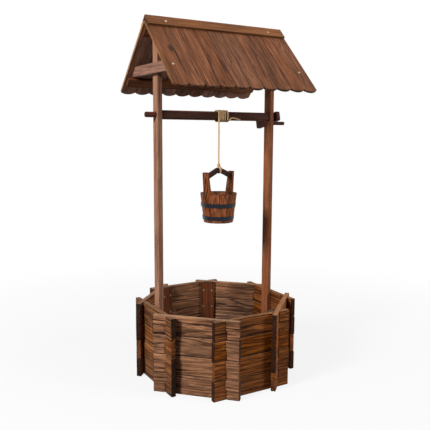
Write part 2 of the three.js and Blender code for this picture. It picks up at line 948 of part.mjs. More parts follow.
export default well;
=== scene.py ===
# %% [markdown]
# # A wishing well planter, dressed in Blender
# The planter is a ring of crossed boards that holds soil, two posts, a plank roof, and a
# windlass with a small bucket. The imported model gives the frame: its places, its bodies and
# its joints. This script lays the real wood, rope and steel over that frame, one kind of
# piece at a time. Everything is in metres, with the crank towards +X and the front at -Y.

import math
import random

import bmesh
import bpy
import numpy as np
from mathutils import Matrix, Vector


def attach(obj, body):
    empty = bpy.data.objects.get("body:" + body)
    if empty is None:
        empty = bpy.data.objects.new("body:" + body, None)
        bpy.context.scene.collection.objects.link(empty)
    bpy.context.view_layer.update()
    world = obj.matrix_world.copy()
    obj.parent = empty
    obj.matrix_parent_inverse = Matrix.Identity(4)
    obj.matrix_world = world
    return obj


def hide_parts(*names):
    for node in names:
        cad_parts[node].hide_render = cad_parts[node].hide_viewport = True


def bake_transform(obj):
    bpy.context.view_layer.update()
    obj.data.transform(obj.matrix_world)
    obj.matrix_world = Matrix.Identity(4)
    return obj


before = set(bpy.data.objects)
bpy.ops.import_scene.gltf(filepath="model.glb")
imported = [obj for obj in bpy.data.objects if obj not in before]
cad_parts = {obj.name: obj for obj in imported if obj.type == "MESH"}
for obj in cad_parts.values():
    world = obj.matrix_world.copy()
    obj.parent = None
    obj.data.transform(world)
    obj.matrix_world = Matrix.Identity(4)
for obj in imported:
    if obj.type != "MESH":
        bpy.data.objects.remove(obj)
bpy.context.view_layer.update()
scene = bpy.context.scene
MM = 0.001
X, Y, Z = (Vector(way) for way in ((1, 0, 0), (0, 1, 0), (0, 0, 1)))

# %% [markdown]
# ## Camera
# A product photograph is taken with a longer lens from the height of the object's upper half.
# The camera's place was found by fitting the known sizes to points in the picture, so it is
# given as an azimuth, a dip and a small roll. A target constraint would be easier to write,
# but it can't hold a roll, so three turns make the camera's matrix.

# %% Camera
FRAME_PIXELS = 430
LENS_PIXELS = 593.82
SENSOR_WIDTH = 36
CAMERA_PLACE = (-1.1496, -1.9792, 0.9365)
CAMERA_AZIMUTH = math.radians(-30.35)
CAMERA_DIP = math.radians(7.69)
CAMERA_ROLL = math.radians(0.33)
CAMERA_SHIFT = (-0.0066, -0.0037)


def new_object(name, data):
    obj = bpy.data.objects.new(name, data)
    scene.collection.objects.link(obj)
    return obj


def shift(x, y, z):
    return Matrix.Translation((x, y, z))


def spin(angle, axis="Z"):
    return Matrix.Rotation(angle, 4, axis)


def aim_camera():
    """The camera at the photograph's viewing angle."""
    data = bpy.data.cameras.new("camera")
    data.sensor_width = SENSOR_WIDTH
    data.lens = LENS_PIXELS / FRAME_PIXELS * SENSOR_WIDTH
    data.shift_x, data.shift_y = CAMERA_SHIFT
    scene.camera = new_object("camera", data)
    aim = spin(CAMERA_AZIMUTH) @ spin(math.pi / 2 - CAMERA_DIP, "X") @ spin(CAMERA_ROLL)
    scene.camera.matrix_world = shift(*CAMERA_PLACE) @ aim
    print("camera lens", round(data.lens, 2), "mm")


aim_camera()

# %% [markdown]
# ## Sizes that the pieces share
# These repeat the named sizes of the part's source, because the looks have to sit exactly on
# the frame. Only the sizes that tie the big pieces to each other stand here. Those of one
# piece and what touches it come with that piece.

# %% Shared sizes
HEIGHT = 1346 * MM
SEAT = 0.3 * MM
SIDES = 8
SIDE_ANGLE = math.tau / SIDES
POST_INNER = 235 * MM
POST_THICK = 18 * MM
POST_WIDE = 41 * MM
POST_OUTER = POST_INNER + POST_THICK
WALL_INNER = POST_OUTER + SEAT
TIE_BOTTOM = HEIGHT - 201.5 * MM
AXLE = TIE_BOTTOM - 143 * MM
BAR_SIZE = 33 * MM
BAR_CHAMFER = 7 * MM
print("walls from", round(WALL_INNER, 4), "m out, windlass axis at", round(AXLE, 4), "m up")

# %% [markdown]
# ## Small helpers for meshes
# Sawn timber is nearly all prisms: an outline with a thickness, or a section with a length.
# Turned pins, staves, hoops and rope are the same thing with more steps. All of them can be
# made by stacking rings of points and bridging them, which gives clean faces and lets the
# rings differ, as the slanted notches of the boards need.

# %% Mesh helpers
def band(bm, low, high):
    """Faces between two rings of the same number of points."""
    for i in range(len(low)):
        bm.faces.new((low[i - 1], low[i], high[i], high[i - 1]))


def to_mesh(bm):
    """The finished mesh of a bmesh, with all its faces looking out."""
    bmesh.ops.recalc_face_normals(bm, faces=bm.faces)
    mesh = bpy.data.meshes.new("piece")
    bm.to_mesh(mesh)
    bm.free()
    return mesh


def skin(rings, seam=None):
    """A mesh over rings of points. Its ends are shut, or meet with a shift of some points."""
    bm = bmesh.new()
    rows = [[bm.verts.new(point) for point in ring] for ring in rings]
    for low, high in zip(rows, rows[1:]):
        band(bm, low, high)
    if seam is None:
        bm.faces.new(rows[0][::-1])
        bm.faces.new(rows[-1])
    else:
        band(bm, rows[-1], rows[0][-seam:] + rows[0][:-seam])
    for face in bm.faces:
        face.smooth = len(face.verts) == 4
    return to_mesh(bm)


def plate(outline, thick, outline_high=None):
    """An outline in X and Y, pushed to both sides of its plane."""
    pair = ((outline, -thick / 2), (outline_high or outline, thick / 2))
    return skin([[(x, y, z) for x, y in ring] for ring, z in pair])


def beam(section, half):
    """A section in Y and Z, pushed along X to both sides."""
    return skin([[(x, y, z) for y, z in section] for x in (-half, half)])


def circle(radius, steps=32):
    return [
        (radius * math.cos(math.tau * i / steps), radius * math.sin(math.tau * i / steps))
        for i in range(steps)
    ]


def turned(profile):
    """A mesh turned about X from a profile of places along X and radii."""
    return skin([[(x, y, z) for y, z in circle(radius)] for x, radius in profile])


print("a ring of 10 mm starts at", circle(10 * MM)[0])

# %% [markdown]
# A modifier shows a change without making it. Numbers that a shader needs at every point
# go into the mesh as attributes, and three calls tie a piece to the frame.

# %% Piece helpers
def bake(obj):
    """Turns the object's modifiers into its mesh."""
    bpy.context.view_layer.update()
    evaluated = obj.evaluated_get(bpy.context.evaluated_depsgraph_get())
    mesh = bpy.data.meshes.new_from_object(evaluated)
    obj.modifiers.clear()
    obj.data = mesh
    return obj


def store(mesh, label, values):
    """Keeps a number or a vector for every point of a mesh."""
    values = np.array(values, np.float32)
    kind, field = ("FLOAT", "value") if values.ndim == 1 else ("FLOAT_VECTOR", "vector")
    mesh.attributes.new(label, kind, "POINT").data.foreach_set(field, values.ravel())


PIECES = []


def tie(obj, body, slot, *nodes):
    """Says which nodes a piece stands for and which body it rides. Its slot is not used."""
    PIECES.append(obj.name)
    if nodes:
        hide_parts(*nodes)
    if body:
        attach(obj, body)
    return obj


def axes(x, y, z, origin=(0, 0, 0)):
    """The matrix that carries a piece's own X, Y and Z to these directions."""
    carried = Matrix((Vector(x), Vector(y), Vector(z))).transposed().to_4x4()
    return Matrix.Translation(origin) @ carried


def heading(angle):
    """The level direction at an angle from +X."""
    return Vector((math.cos(angle), math.sin(angle), 0))


print("a quarter turn heads to", [round(v, 2) for v in heading(math.pi / 2)])

# %% [markdown]
# ## Building shader trees
# A node tree is easier to read in code when each node is one line. This small wrapper adds
# a node, wires its inputs and hands back its output, so that a formula reads as a formula.

# %% Node helpers
class Wires:
    """Adds nodes to a tree and returns their outputs."""

    def __init__(self, tree):
        self.tree = tree

    def put(self, socket, value):
        if isinstance(value, bpy.types.NodeSocket):
            self.tree.links.new(value, socket)
        elif value is not None:
            socket.default_value = value

    def node(self, kind, **settings):
        made = self.tree.nodes.new(kind)
        for key, value in settings.items():
            setattr(made, key, value)
        return made

    def made(self, kind, values, output=0, **settings):
        """A node's output. The values are a list in the inputs' order, or a table by name."""
        made = self.node(kind, **settings)
        for key, value in values.items() if isinstance(values, dict) else enumerate(values):
            self.put(made.inputs[key], value)
        return made.outputs[output]

    def math(self, operation, *values):
        return self.made("ShaderNodeMath", values, operation=operation)

    def times(self, first, *rest):
        for value in rest:
            first = self.math("MULTIPLY", first, value)
        return first

    def line(self, value, slope, start):
        return self.math("MULTIPLY_ADD", value, slope, start)

    def vector(self, operation, *values):
        output = 1 if operation == "LENGTH" else 0
        return self.made("ShaderNodeVectorMath", values, output, operation=operation)

    def attribute(self, name, output="Vector"):
        return self.made("ShaderNodeAttribute", (), output, attribute_name=name)

    def split(self, vector):
        made = self.node("ShaderNodeSeparateXYZ")
        self.put(made.inputs[0], vector)
        return made.outputs

    def join(self, x, y, z):
        return self.made("ShaderNodeCombineXYZ", (x, y, z))

    def noise(self, vector, stretch, detail=2.0, roughness=0.5):
        place = self.vector("MULTIPLY", vector, stretch)
        given = {"Vector": place, "Scale": 1, "Detail": detail, "Roughness": roughness}
        return self.made("ShaderNodeTexNoise", given)

    def ease(self, value, low, high, start=0.0, end=1.0):
        given = (value, low, high, start, end)
        return self.made("ShaderNodeMapRange", given, interpolation_type="SMOOTHSTEP")

    def mix(self, share, a, b):
        return self.made("ShaderNodeMix", {0: share, 6: a, 7: b}, 2, data_type="RGBA")

    def bump(self, shader, height, strength, distance):
        given = {"Strength": strength, "Distance": distance, "Height": height}
        self.put(shader["Normal"], self.made("ShaderNodeBump", given))


def srgb(code):
    """A linear colour from a web colour."""
    parts = [int(code[i : i + 2], 16) / 255 for i in (1, 3, 5)]
    linear = [c / 12.92 if c <= 0.04045 else ((c + 0.055) / 1.055) ** 2.4 for c in parts]
    return (*linear, 1)


def new_tree(kind, name, inputs, outputs):
    """A node group with its sockets, as its wires and its two end nodes' sockets."""
    tree = bpy.data.node_groups.new(name, kind + "NodeTree")
    for in_out, sockets in (("INPUT", inputs), ("OUTPUT", outputs)):
        for label, what, *value in sockets:
            socket = tree.interface.new_socket(
                name=label, in_out=in_out, socket_type="NodeSocket" + what
            )
            if value:
                socket.default_value = value[0]
    w = Wires(tree)
    return w, w.node("NodeGroupInput").outputs, w.node("NodeGroupOutput").inputs


def new_material(name):
    """A material with a Principled shader, its wires and that shader's inputs."""
    material = bpy.data.materials.new(name)
    material.use_nodes = True
    shader = material.node_tree.nodes["Principled BSDF"]
    return material, Wires(material.node_tree), shader.inputs


print("mid grey is", round(srgb("#808080")[0], 3), "in linear light")

# %% [markdown]
# ## Rope
# The rope is three twisted strands of pale natural fibre, 6 mm thick. It could be three
# helical curves, but where it is wound on the bar that makes thousands of thin faces that
# cross each other. One tube with three lobes that turn along its length gives the same
# outline and the same shadows in the grooves. Its route comes first, because the model's
# frame has the same route: six turns over the flats and chamfers of the bar.

# %% Rope route
ROPE_RADIUS = 3 * MM
ROPE_WIDE = 2 * ROPE_RADIUS
ROPE_PITCH = 6.9 * MM
HANG_X = 0.3 * MM
HANG_Y = -(BAR_SIZE / 2 + SEAT + ROPE_RADIUS)
TURNS = 6
LOOSE_TURNS = 2
LOOSE_PITCH = 11.8 * MM
TAIL_ENTRY = math.radians(60)
TAIL_ANGLE = math.radians(20)
TAIL_DROOP = math.radians(22)
TAIL_BEND = 12 * MM
TAIL_LONG = 41 * MM
TAIL_LIFT = 1.5 * MM
TAIL_STEPS = 14
BEND_STEPS = 10
STEPS_PER_TURN = 48


def beside_bar(x, angle, lift=0.0):
    """The rope's place over a flat or a chamfer. Angle 0 is the front, and it grows down."""
    flat = BAR_SIZE / 2 + SEAT + ROPE_RADIUS
    chamfer = (BAR_SIZE - BAR_CHAMFER) / math.sqrt(2) + SEAT + ROPE_RADIUS
    to_flat = abs((angle + math.pi / 4) % (math.pi / 2) - math.pi / 4)
    radius = min(flat / math.cos(to_flat), chamfer / math.cos(math.pi / 4 - to_flat)) + lift
    return Vector((x, -radius * math.cos(angle), AXLE - radius * math.sin(angle)))


def winding_x(turn):
    packed_right = HANG_X + (TURNS - LOOSE_TURNS) * ROPE_PITCH
    if turn >= LOOSE_TURNS:
        return HANG_X + (TURNS - turn) * ROPE_PITCH
    if turn >= 1:
        return packed_right + (LOOSE_TURNS - turn) * LOOSE_PITCH
    return packed_right + LOOSE_PITCH + (1 - turn) * ROPE_PITCH


def winding_route():
    """From the bare end, along the bar's lower front edge, round the bar, and off it."""
    entry = TAIL_ENTRY / math.tau
    bend_end = winding_x(entry) + TAIL_BEND
    route = []
    for i in range(TAIL_STEPS):
        rest = 1 - i / TAIL_STEPS
        angle = TAIL_ANGLE + TAIL_DROOP * rest * rest
        route.append(beside_bar(bend_end + TAIL_LONG * rest, angle, TAIL_LIFT))
    for i in range(BEND_STEPS):
        beta = i / BEND_STEPS * math.pi / 2
        angle = TAIL_ENTRY - (TAIL_ENTRY - TAIL_ANGLE) * math.cos(beta)
        x = bend_end - TAIL_BEND * math.sin(beta)
        route.append(beside_bar(x, angle, TAIL_LIFT * math.cos(beta)))
    steps = round((TURNS - entry) * STEPS_PER_TURN)
    for i in range(steps + 1):
        turn = entry + (TURNS - entry) * i / steps
        route.append(beside_bar(winding_x(turn), turn * math.tau))
    route.append(route[-1] - Z * ROPE_WIDE)
    return route


def route_length(route):
    return sum((b - a).length for a, b in zip(route, route[1:]))


winding_points = winding_route()

# %% [markdown]
# Laid rope shows its strands as a spiral of soft lobes. A twisted pattern on a round tube
# would be quicker, but the rope's outline would stay smooth, so here the section itself has
# three lobes. Rings of that section are set along the route at an even step, and each is
# turned a little further than the one before it.

# %% Laid rope
LAY = 19 * MM
GROOVE = 0.2
ROPE_SIDES = 18
ROPE_STEP = 1.6 * MM
FIRST_OUT = (0.3, 0.5, 0.8)


def even_route(route, closed=False):
    """The same route with points at an even step."""
    points = [*route, route[0]] if closed else route
    along = [0.0]
    for a, b in zip(points, points[1:]):
        along.append(along[-1] + (b - a).length)
    wanted = np.linspace(0, along[-1], max(2, round(along[-1] / ROPE_STEP)) + 1)
    columns = [np.interp(wanted, along, [p[i] for p in points]) for i in range(3)]
    even = [Vector(p) for p in zip(*columns)]
    return even[:-1] if closed else even


def rope_frames(points, closed):
    """Each point with the direction out of the rope and the direction across both."""
    ends = (points[-1], points[0]) if closed else (points[0], points[-1])
    padded = [ends[0], *points, ends[1]]
    out = Vector(FIRST_OUT)
    frames = []
    for before, point, after in zip(padded, points, padded[2:]):
        tangent = (after - before).normalized()
        out = (out - tangent * out.dot(tangent)).normalized()
        frames.append((point, out.copy(), tangent.cross(out)))
    return frames


def laid_rope(route, radius=ROPE_RADIUS, closed=False):
    """A tube with three lobes that turn along the route."""
    points = even_route(route, closed)
    count = len(points)
    frames = rope_frames(points, closed)
    step = route_length([*points, points[0]] if closed else points) / (count - (not closed))
    turn_step = step / LAY
    slip, seam = 0.0, None
    if closed:
        thirds = round(3 * count * turn_step)
        turn_step = thirds / 3 / count
        first_out, first_side = frames[0][1:]
        slip = math.atan2(frames[-1][1].dot(first_side), frames[-1][1].dot(first_out))
        seam = thirds * ROPE_SIDES // 3 % ROPE_SIDES
    phases = [math.tau * k / ROPE_SIDES for k in range(ROPE_SIDES)]
    grooves = [1 - abs(math.cos(1.5 * phase)) for phase in phases]
    rings = []
    for i, (point, out, side) in enumerate(frames):
        turn = math.tau * i * turn_step - slip * i / count
        rings.append([
            point + radius * (1 - GROOVE * groove)
            * (out * math.cos(phase + turn) + side * math.sin(phase + turn))
            for phase, groove in zip(phases, grooves)
        ])
    mesh = skin(rings, seam)
    store(mesh, "rope_groove", grooves * count)
    store(mesh, "rope_along", np.repeat(np.arange(count) * step, ROPE_SIDES))
    store(mesh, "rope_round", [math.sin(1.5 * phase) for phase in phases] * count)
    return mesh


print("lobes turn once in", round(LAY / ROPE_STEP, 1), "steps")

# %% [markdown]
# The fibres of each strand run across the strand at a slant, and painted shade darkens the
# grooves. The mesh carries both as attributes, so the pattern stays on the rope when the
# bucket goes down and the hanging length stretches.

# %% Rope material
def rope_material():
    material, w, shader = new_material("natural_rope")
    groove, along, across = (
        w.attribute("rope_" + label, "Fac") for label in ("groove", "along", "round")
    )
    slant = w.math("ADD", along, w.times(across, 0.004))
    fibres = w.noise(w.join(w.times(slant, 0.35), across, groove), (900, 9, 3), 3, 0.6)
    blotch = w.noise(w.join(along, across, 0.0), (26, 0.6, 1), 2)
    pale = w.mix(w.ease(fibres, 0.3, 0.75), srgb("#f0cf9f"), srgb("#c8965f"))
    worn = w.mix(w.ease(blotch, 0.45, 0.75, 0.0, 0.4), pale, srgb("#a87c4e"))
    # Painted shade: the grooves between the strands are darkened
    deep = w.ease(groove, 0.45, 1.0, 0.0, 0.8)
    w.put(shader["Base Color"], w.mix(deep, worn, srgb("#6a4529")))
    w.put(shader["Roughness"], w.ease(fibres, 0.2, 0.8, 0.8, 0.95))
    w.put(shader["Sheen Weight"], 0.25)
    w.bump(shader, fibres, 0.7, 0.4 * MM)
    return material


ROPE = rope_material()


def rope_piece(name, route, body, node, **shape):
    obj = new_object(name, laid_rope(route, **shape))
    obj.data.materials.append(ROPE)
    print(name, len(obj.data.polygons), "faces")
    return tie(obj, body, "rope", node)


winding = rope_piece("rope_on_bar", winding_points, "windlass", "rope_winding")

# %% [markdown]
# The hanging length crosses the bucket's sliding joint, from the bar down to the knot, and
# rides no body. The knot is a few tight turns of the rope's end round the standing part, and
# the loop goes round the bucket's handle.

# %% Hanging rope, knot and loop
KNOT_TOP = AXLE - 177 * MM
KNOT_HIGH = 15 * MM
HANDLE_PEAK = KNOT_TOP - KNOT_HIGH - 0.5 * MM
DROP_STEPS = 24
DROP_DIP = 6 * MM
KNOT_TURNS = 2.3
KNOT_STEPS = 44
KNOT_START = math.radians(200)
KNOT_RADII = (3.4 * MM, 5 * MM)
KNOT_DROPS = (2.2 * MM, 12.8 * MM)
KNOT_ROPE = 2.4 * MM
END_LEAN = Vector((0.55, -0.35, -0.75)).normalized()
END_REACHES = (2 * MM, 5 * MM, 8.5 * MM, 12 * MM, 15 * MM)
BUCKET_TWIST = math.radians(19.5)
HANDLE_THICK = 14 * MM
HANDLE_ARM = 18 * MM
LOOP_STEPS = 28
LOOP_BLUNT = 0.72
LOOP_DROP = 1.3 * MM
LOOP_BITE = 1 * MM
LOOP_LEAN = 0.3
LOOP_WAVE = 1.2 * MM
bucket_turn = shift(HANG_X, HANG_Y, 0) @ spin(BUCKET_TWIST)
drop_top = Vector((HANG_X, HANG_Y, AXLE - ROPE_WIDE - SEAT))
drop_foot = Vector((HANG_X, HANG_Y, KNOT_TOP - DROP_DIP))
drop_route = [drop_top.lerp(drop_foot, i / DROP_STEPS) for i in range(DROP_STEPS + 1)]
hanging = rope_piece("rope_hanging", drop_route, None, "rope_drop")
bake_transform(hanging)


def between(pair, share):
    """The number at a share of the way from the first to the second."""
    return pair[0] + (pair[1] - pair[0]) * share


def knot_route():
    """Turns round the standing rope that widen downwards, and a short end that sticks out."""
    route = []
    for i in range(KNOT_STEPS + 1):
        share = i / KNOT_STEPS
        place = heading(KNOT_START + share * KNOT_TURNS * math.tau) * between(KNOT_RADII, share)
        z = KNOT_TOP - between(KNOT_DROPS, share)
        route.append(place + Vector((HANG_X, HANG_Y, z)))
    return route + [route[-1] + END_LEAN * reach for reach in END_REACHES]


def loop_route():
    """Round the handle under the knot: a rounded box that leans in towards the knot."""
    route = []
    bottom = HANDLE_PEAK - HANDLE_ARM - LOOP_DROP - ROPE_RADIUS
    top = KNOT_TOP - KNOT_HIGH - ROPE_RADIUS + LOOP_BITE
    wide = HANDLE_THICK / 2 + ROPE_RADIUS + SEAT
    for i in range(LOOP_STEPS):
        angle = math.tau * i / LOOP_STEPS
        c, s = (
            math.copysign(abs(part) ** LOOP_BLUNT, part)
            for part in (math.cos(angle), math.sin(angle))
        )
        y = wide * (1 - LOOP_LEAN * max(s, 0)) * c
        z = (top + bottom) / 2 + (top - bottom) / 2 * s
        route.append(bucket_turn @ Vector((LOOP_WAVE * math.sin(angle * 2), y, z)))
    return route


knot = rope_piece("rope_knot_turns", knot_route(), "knot", "rope_knot", radius=KNOT_ROPE)
loop = rope_piece("rope_round_handle", loop_route(), "bucket", "rope_loop", closed=True)

# %% [markdown]
# ## Timber
# All the wood is softwood that was scorched, brushed and oiled: the flame darkens the hard
# winter rings more than the soft summer wood, and brushing sets them apart. A picture of
# wood wrapped round a board would repeat and stretch. Here each board carries the place of
# every point in its own length, width and thickness, and the shader cuts that point out of
# an imagined trunk. The rings then show as arches on the faces and as arcs on the ends.

# %% Timber group
TIMBER_INPUTS = [(label, "Color") for label in ("Light", "Mid", "Dark", "Edge")] + [
    (label, "Float") for label in (
        "Ring Spacing", "Ring Depth", "Scorch", "Knots", "Edge Wear", "Edge Soot", "Side Cut",
        "Under Lift",
    )
]
TIMBER_OUTPUTS = [("Color", "Color"), ("Roughness", "Float"), ("Height", "Float")]


def build_timber():
    w, given, made = new_tree("Shader", "scorched_timber", TIMBER_INPUTS, TIMBER_OUTPUTS)
    at, half, seed = (w.attribute("timber_" + label) for label in ("at", "half", "seed"))
    tone, warm = (w.attribute("timber_" + label, "Fac") for label in ("tone", "warm"))
    place = w.vector("ADD", at, seed)
    x, y, z = w.split(at)
    half_y, half_z = w.split(half)[1:]
    seed_x, seed_y, seed_z = w.split(w.vector("FRACTION", seed))

    # Knots push the rings aside and have a dark heart
    cells = w.node("ShaderNodeTexVoronoi", feature="F1")
    w.put(cells.inputs["Vector"], w.vector("MULTIPLY", place, (5.0, 11.0, 1.0)))
    w.put(cells.inputs["Scale"], 1)
    pick = w.math("ADD", w.split(cells.outputs["Color"])[0], given["Knots"])
    chosen = w.math("GREATER_THAN", pick, 1.0)
    apart = cells.outputs["Distance"]
    swirl = w.times(w.ease(apart, 0.0, 0.45, 1.0, 0.0), chosen)
    heart = w.times(w.ease(apart, 0.04, 0.13, 1.0, 0.0), chosen)

    # Rings about a pith that wanders beside the board
    wander = w.math("SUBTRACT", w.noise(place, (2.2, 12, 12), 2), 0.5)
    ripple = w.math("SUBTRACT", w.noise(place, (9, 60, 60), 3, 0.6), 0.5)
    bend = w.line(wander, 0.05, w.times(ripple, 0.004))
    bent = w.vector("ADD", place, w.join(0.0, bend, bend))
    across = w.line(w.math("SUBTRACT", seed_x, 0.5), 0.08, y)
    through = w.line(x, w.line(seed_y, 0.05, 0.01), z)
    through = w.math("ADD", through, w.line(seed_z, 0.04, 0.014))
    reach = w.vector("LENGTH", w.join(across, through, 0.0))
    reach = w.line(ripple, 0.006, w.line(wander, 0.013, reach))
    reach = w.line(w.math("POWER", swirl, 2.0), 0.018, reach)
    phase = w.math("FRACT", w.math("DIVIDE", reach, given["Ring Spacing"]))
    late = w.times(w.ease(phase, 0.5, 0.82), w.ease(phase, 0.92, 1.0, 1.0, 0.0))

    # Fine fibres, and the flame's uneven streaks and patches
    fibre = w.noise(place, (14, 700, 700), 3, 0.6)
    streak = w.noise(bent, (4, 170, 170), 3, 0.7)
    burn = w.ease(w.noise(bent, (4, 120, 120), 4, 0.66), 0.54, 0.64, 0.0, 0.85)
    stain = w.ease(w.noise(place, (9, 34, 34), 3, 0.7), 0.56, 0.74, 0.0, 0.4)
    char = w.times(w.math("MAXIMUM", burn, stain), given["Scorch"])

    # Some years, some boards and the boards cut square to the rings show them more weakly
    years = w.join(w.times(x, 1.6), w.times(reach, 150.0), seed_y)
    bite = w.ease(w.noise(years, (1, 1, 1), 2), 0.38, 0.6, 0.2, 1.0)
    tangent = w.math("DIVIDE", w.math("ABSOLUTE", across), reach)
    square = w.ease(tangent, 0.1, 0.6, 0.45, 1.0)
    strong = w.ease(w.math("FRACT", w.times(seed_x, 7.0)), 0.1, 0.6, 0.4, 1.0)
    rings = w.times(late, given["Ring Depth"], bite, square, strong)

    # Arris rubbed paler with a painted highlight, painted seam shade, darker cut ends
    in_x, in_y, in_z = w.split(w.vector("SUBTRACT", half, w.vector("ABSOLUTE", at)))
    greater = w.math("MAXIMUM", in_x, in_y)
    second = w.math("MAXIMUM", w.math("MINIMUM", in_x, in_y), w.math("MINIMUM", greater, in_z))
    ragged = w.line(w.noise(place, (70, 70, 70), 3), 0.005, -0.002)
    rubbed_and_highlit = w.ease(w.math("SUBTRACT", second, ragged), 0.0, 0.0012, 1.0, 0.0)
    # Painted shade: the seams at the lower edge and at the ends are darkened
    off_low = w.math("MINIMUM", in_x, w.math("ADD", y, half_y))
    seam_shade = w.ease(w.math("SUBTRACT", off_low, ragged), 0.0014, 0.0042, 1.0, 0.0)
    end_face = w.ease(in_x, 0.0002, 0.0012, 0.7, 0.0)
    side_face = w.ease(in_y, 0.0002, 0.0009, 1.0, 0.0)
    # Painted light: a board's underside is made lighter and greyer than its top
    under_face = w.ease(w.math("ADD", z, half_z), 0.0002, 0.0009, 1.0, 0.0)
    painted_underside_light = w.times(under_face, given["Under Lift"])

    colour = w.mix(w.ease(streak, 0.38, 0.6), given["Light"], given["Mid"])
    for share, paint in (
        (w.ease(fibre, 0.35, 0.8, 0.0, 0.35), "Dark"),
        (rings, "Dark"),
        (char, "Dark"),
        (w.times(heart, 0.85), "Dark"),
        (w.times(side_face, given["Side Cut"]), "Edge"),
        (w.times(rubbed_and_highlit, given["Edge Wear"]), "Edge"),
        (w.math("MAXIMUM", w.times(seam_shade, given["Edge Soot"]), end_face), "Dark"),
    ):
        colour = w.mix(share, colour, given[paint])
    blotch = w.ease(w.noise(place, (6, 20, 20), 2, 0.6), 0.34, 0.68, 1.14, 0.78)
    w.put(made["Color"], w.made("ShaderNodeHueSaturation", {
        "Hue": w.line(warm, -0.012, 0.505),
        "Saturation": w.line(painted_underside_light, -0.25, w.line(warm, 0.36, 0.82)),
        "Value": w.times(w.line(tone, 0.6, 0.7), blotch, w.math("ADD", painted_underside_light, 1.0)),
        "Color": colour,
    }))
    w.put(made["Roughness"], w.line(char, 0.1, w.line(fibre, 0.2, 0.52)))
    w.put(made["Height"], w.line(heart, 0.6, w.line(late, 0.7, w.times(fibre, 0.35))))
    return w.tree


TIMBER = build_timber()
print("timber group", len(TIMBER.nodes), "nodes")

# %% [markdown]
# Scorched and oiled in the same way, the parts still look different, because the boards
# differ in age and cut and in how long the flame stayed on them. Each wood could have a
# material of its own, wired by hand. Here one group does the work and a table gives each
# wood its colours, rings and wear, so that the woods can be compared line by line.

# %% Woods
# Each wood: its light, mid, dark and edge colours, then its ring spacing in mm, ring depth,
# scorch, knots, edge wear with painted highlight, painted seam shade, side cut and painted
# underside light
WOOD_TABLE = {
    "wall_wood": ("#b87038 #72401f #110a0a #c08c62", 8.5, 1.0, 0.8, 0.4, 0.35, 0.85, 0.45, 0),
    "batten_wood": ("#824e32 #5f3622 #241914 #8c6240", 6, 0.6, 0.4, 0.2, 0.35, 0.5, 0, 0),
    "floor_wood": ("#7c5433 #5f3c22 #2a1e17 #80603f", 6, 0.6, 0.35, 0.4, 0.3, 0.5, 0, 0),
    "post_wood": ("#ae714e #8f5839 #412820 #b98a62", 8, 0.6, 0.08, 0.3, 0.45, 0.3, 0, 0),
    "tie_wood": ("#a47a66 #8a6353 #4f382f #bd957e", 6, 0.5, 0.25, 0.1, 0.4, 0.3, 0, 0),
    "plank_wood": ("#905f43 #744a32 #281c1a #b98350", 7, 0.7, 0.9, 0.35, 0.1, 0.6, 0, 0.6),
    "gable_plank_wood": (
        "#905f43 #744a32 #281c1a #c08a55", 5, 0.6, 0.6, 0.3, 0.35, 0.3, 0.45, 0.6,
    ),
    "purlin_wood": ("#98603a #6e432a #2a1a13 #7e573c", 5, 0.5, 0.35, 0.2, 0.3, 0.5, 0, 0),
    "cap_wood": ("#92603b #784a2c #3a2519 #b07a48", 5, 0.45, 0.3, 0.2, 0.4, 0.25, 0, 0),
    "bar_wood": ("#7a4534 #5a3326 #1a100e #6d4130", 5, 0.5, 0.45, 0.1, 0.35, 0.5, 0, 0),
    "arm_wood": ("#5c3626 #3f2318 #1a110f #8c6350", 5, 0.4, 0.45, 0.1, 0.6, 0.5, 0, 0),
    "stave_wood": ("#b4693f #794529 #1c0e0b #b77a48", 7, 0.9, 0.85, 0.1, 0.55, 0.6, 0, 0),
    "ear_wood": ("#a3633f #6b3c25 #170e0c #96643e", 7, 0.9, 0.85, 0.1, 0.5, 0.5, 0, 0),
    "yoke_wood": ("#472a20 #2f1a14 #140d0b #5e4031", 5, 0.4, 0.4, 0.0, 0.5, 0.5, 0, 0),
}
RELIEF = 0.35 * MM
BUCKET_RELIEF = {name: 0.2 * MM for name in ("stave_wood", "ear_wood", "yoke_wood")}


def timber_material(name, colours, spacing, *shares):
    material, w, shader = new_material(name)
    group = w.node("ShaderNodeGroup", node_tree=TIMBER)
    values = [*map(srgb, colours.split()), spacing * MM, *shares]
    for socket, value in zip(group.inputs, values):
        w.put(socket, value)
    w.put(shader["Base Color"], group.outputs["Color"])
    w.put(shader["Roughness"], group.outputs["Roughness"])
    w.put(shader["Specular IOR Level"], 0.08)
    w.bump(shader, group.outputs["Height"], 0.8, BUCKET_RELIEF.get(name, RELIEF))
    return material


WOODS = {name: timber_material(name, *row) for name, row in WOOD_TABLE.items()}
print("woods", *WOODS)

# %% [markdown]
# A sawn board's edges are never quite sharp, and their narrow round is what catches the
# light. It could be painted on, but a Bevel modifier makes it real for every piece. Each
# piece then takes its place in the trunk by chance, and a tone of its own, as boards from
# one pile do.

# %% Timber pieces
SEED = 20
chance = random.Random(SEED)
ARRIS = 1.2 * MM
ARRIS_ANGLE = math.radians(25)
SEED_REACH = 9
TONES = (0.3, 0.7)
WARMTHS = (0.35, 0.65)


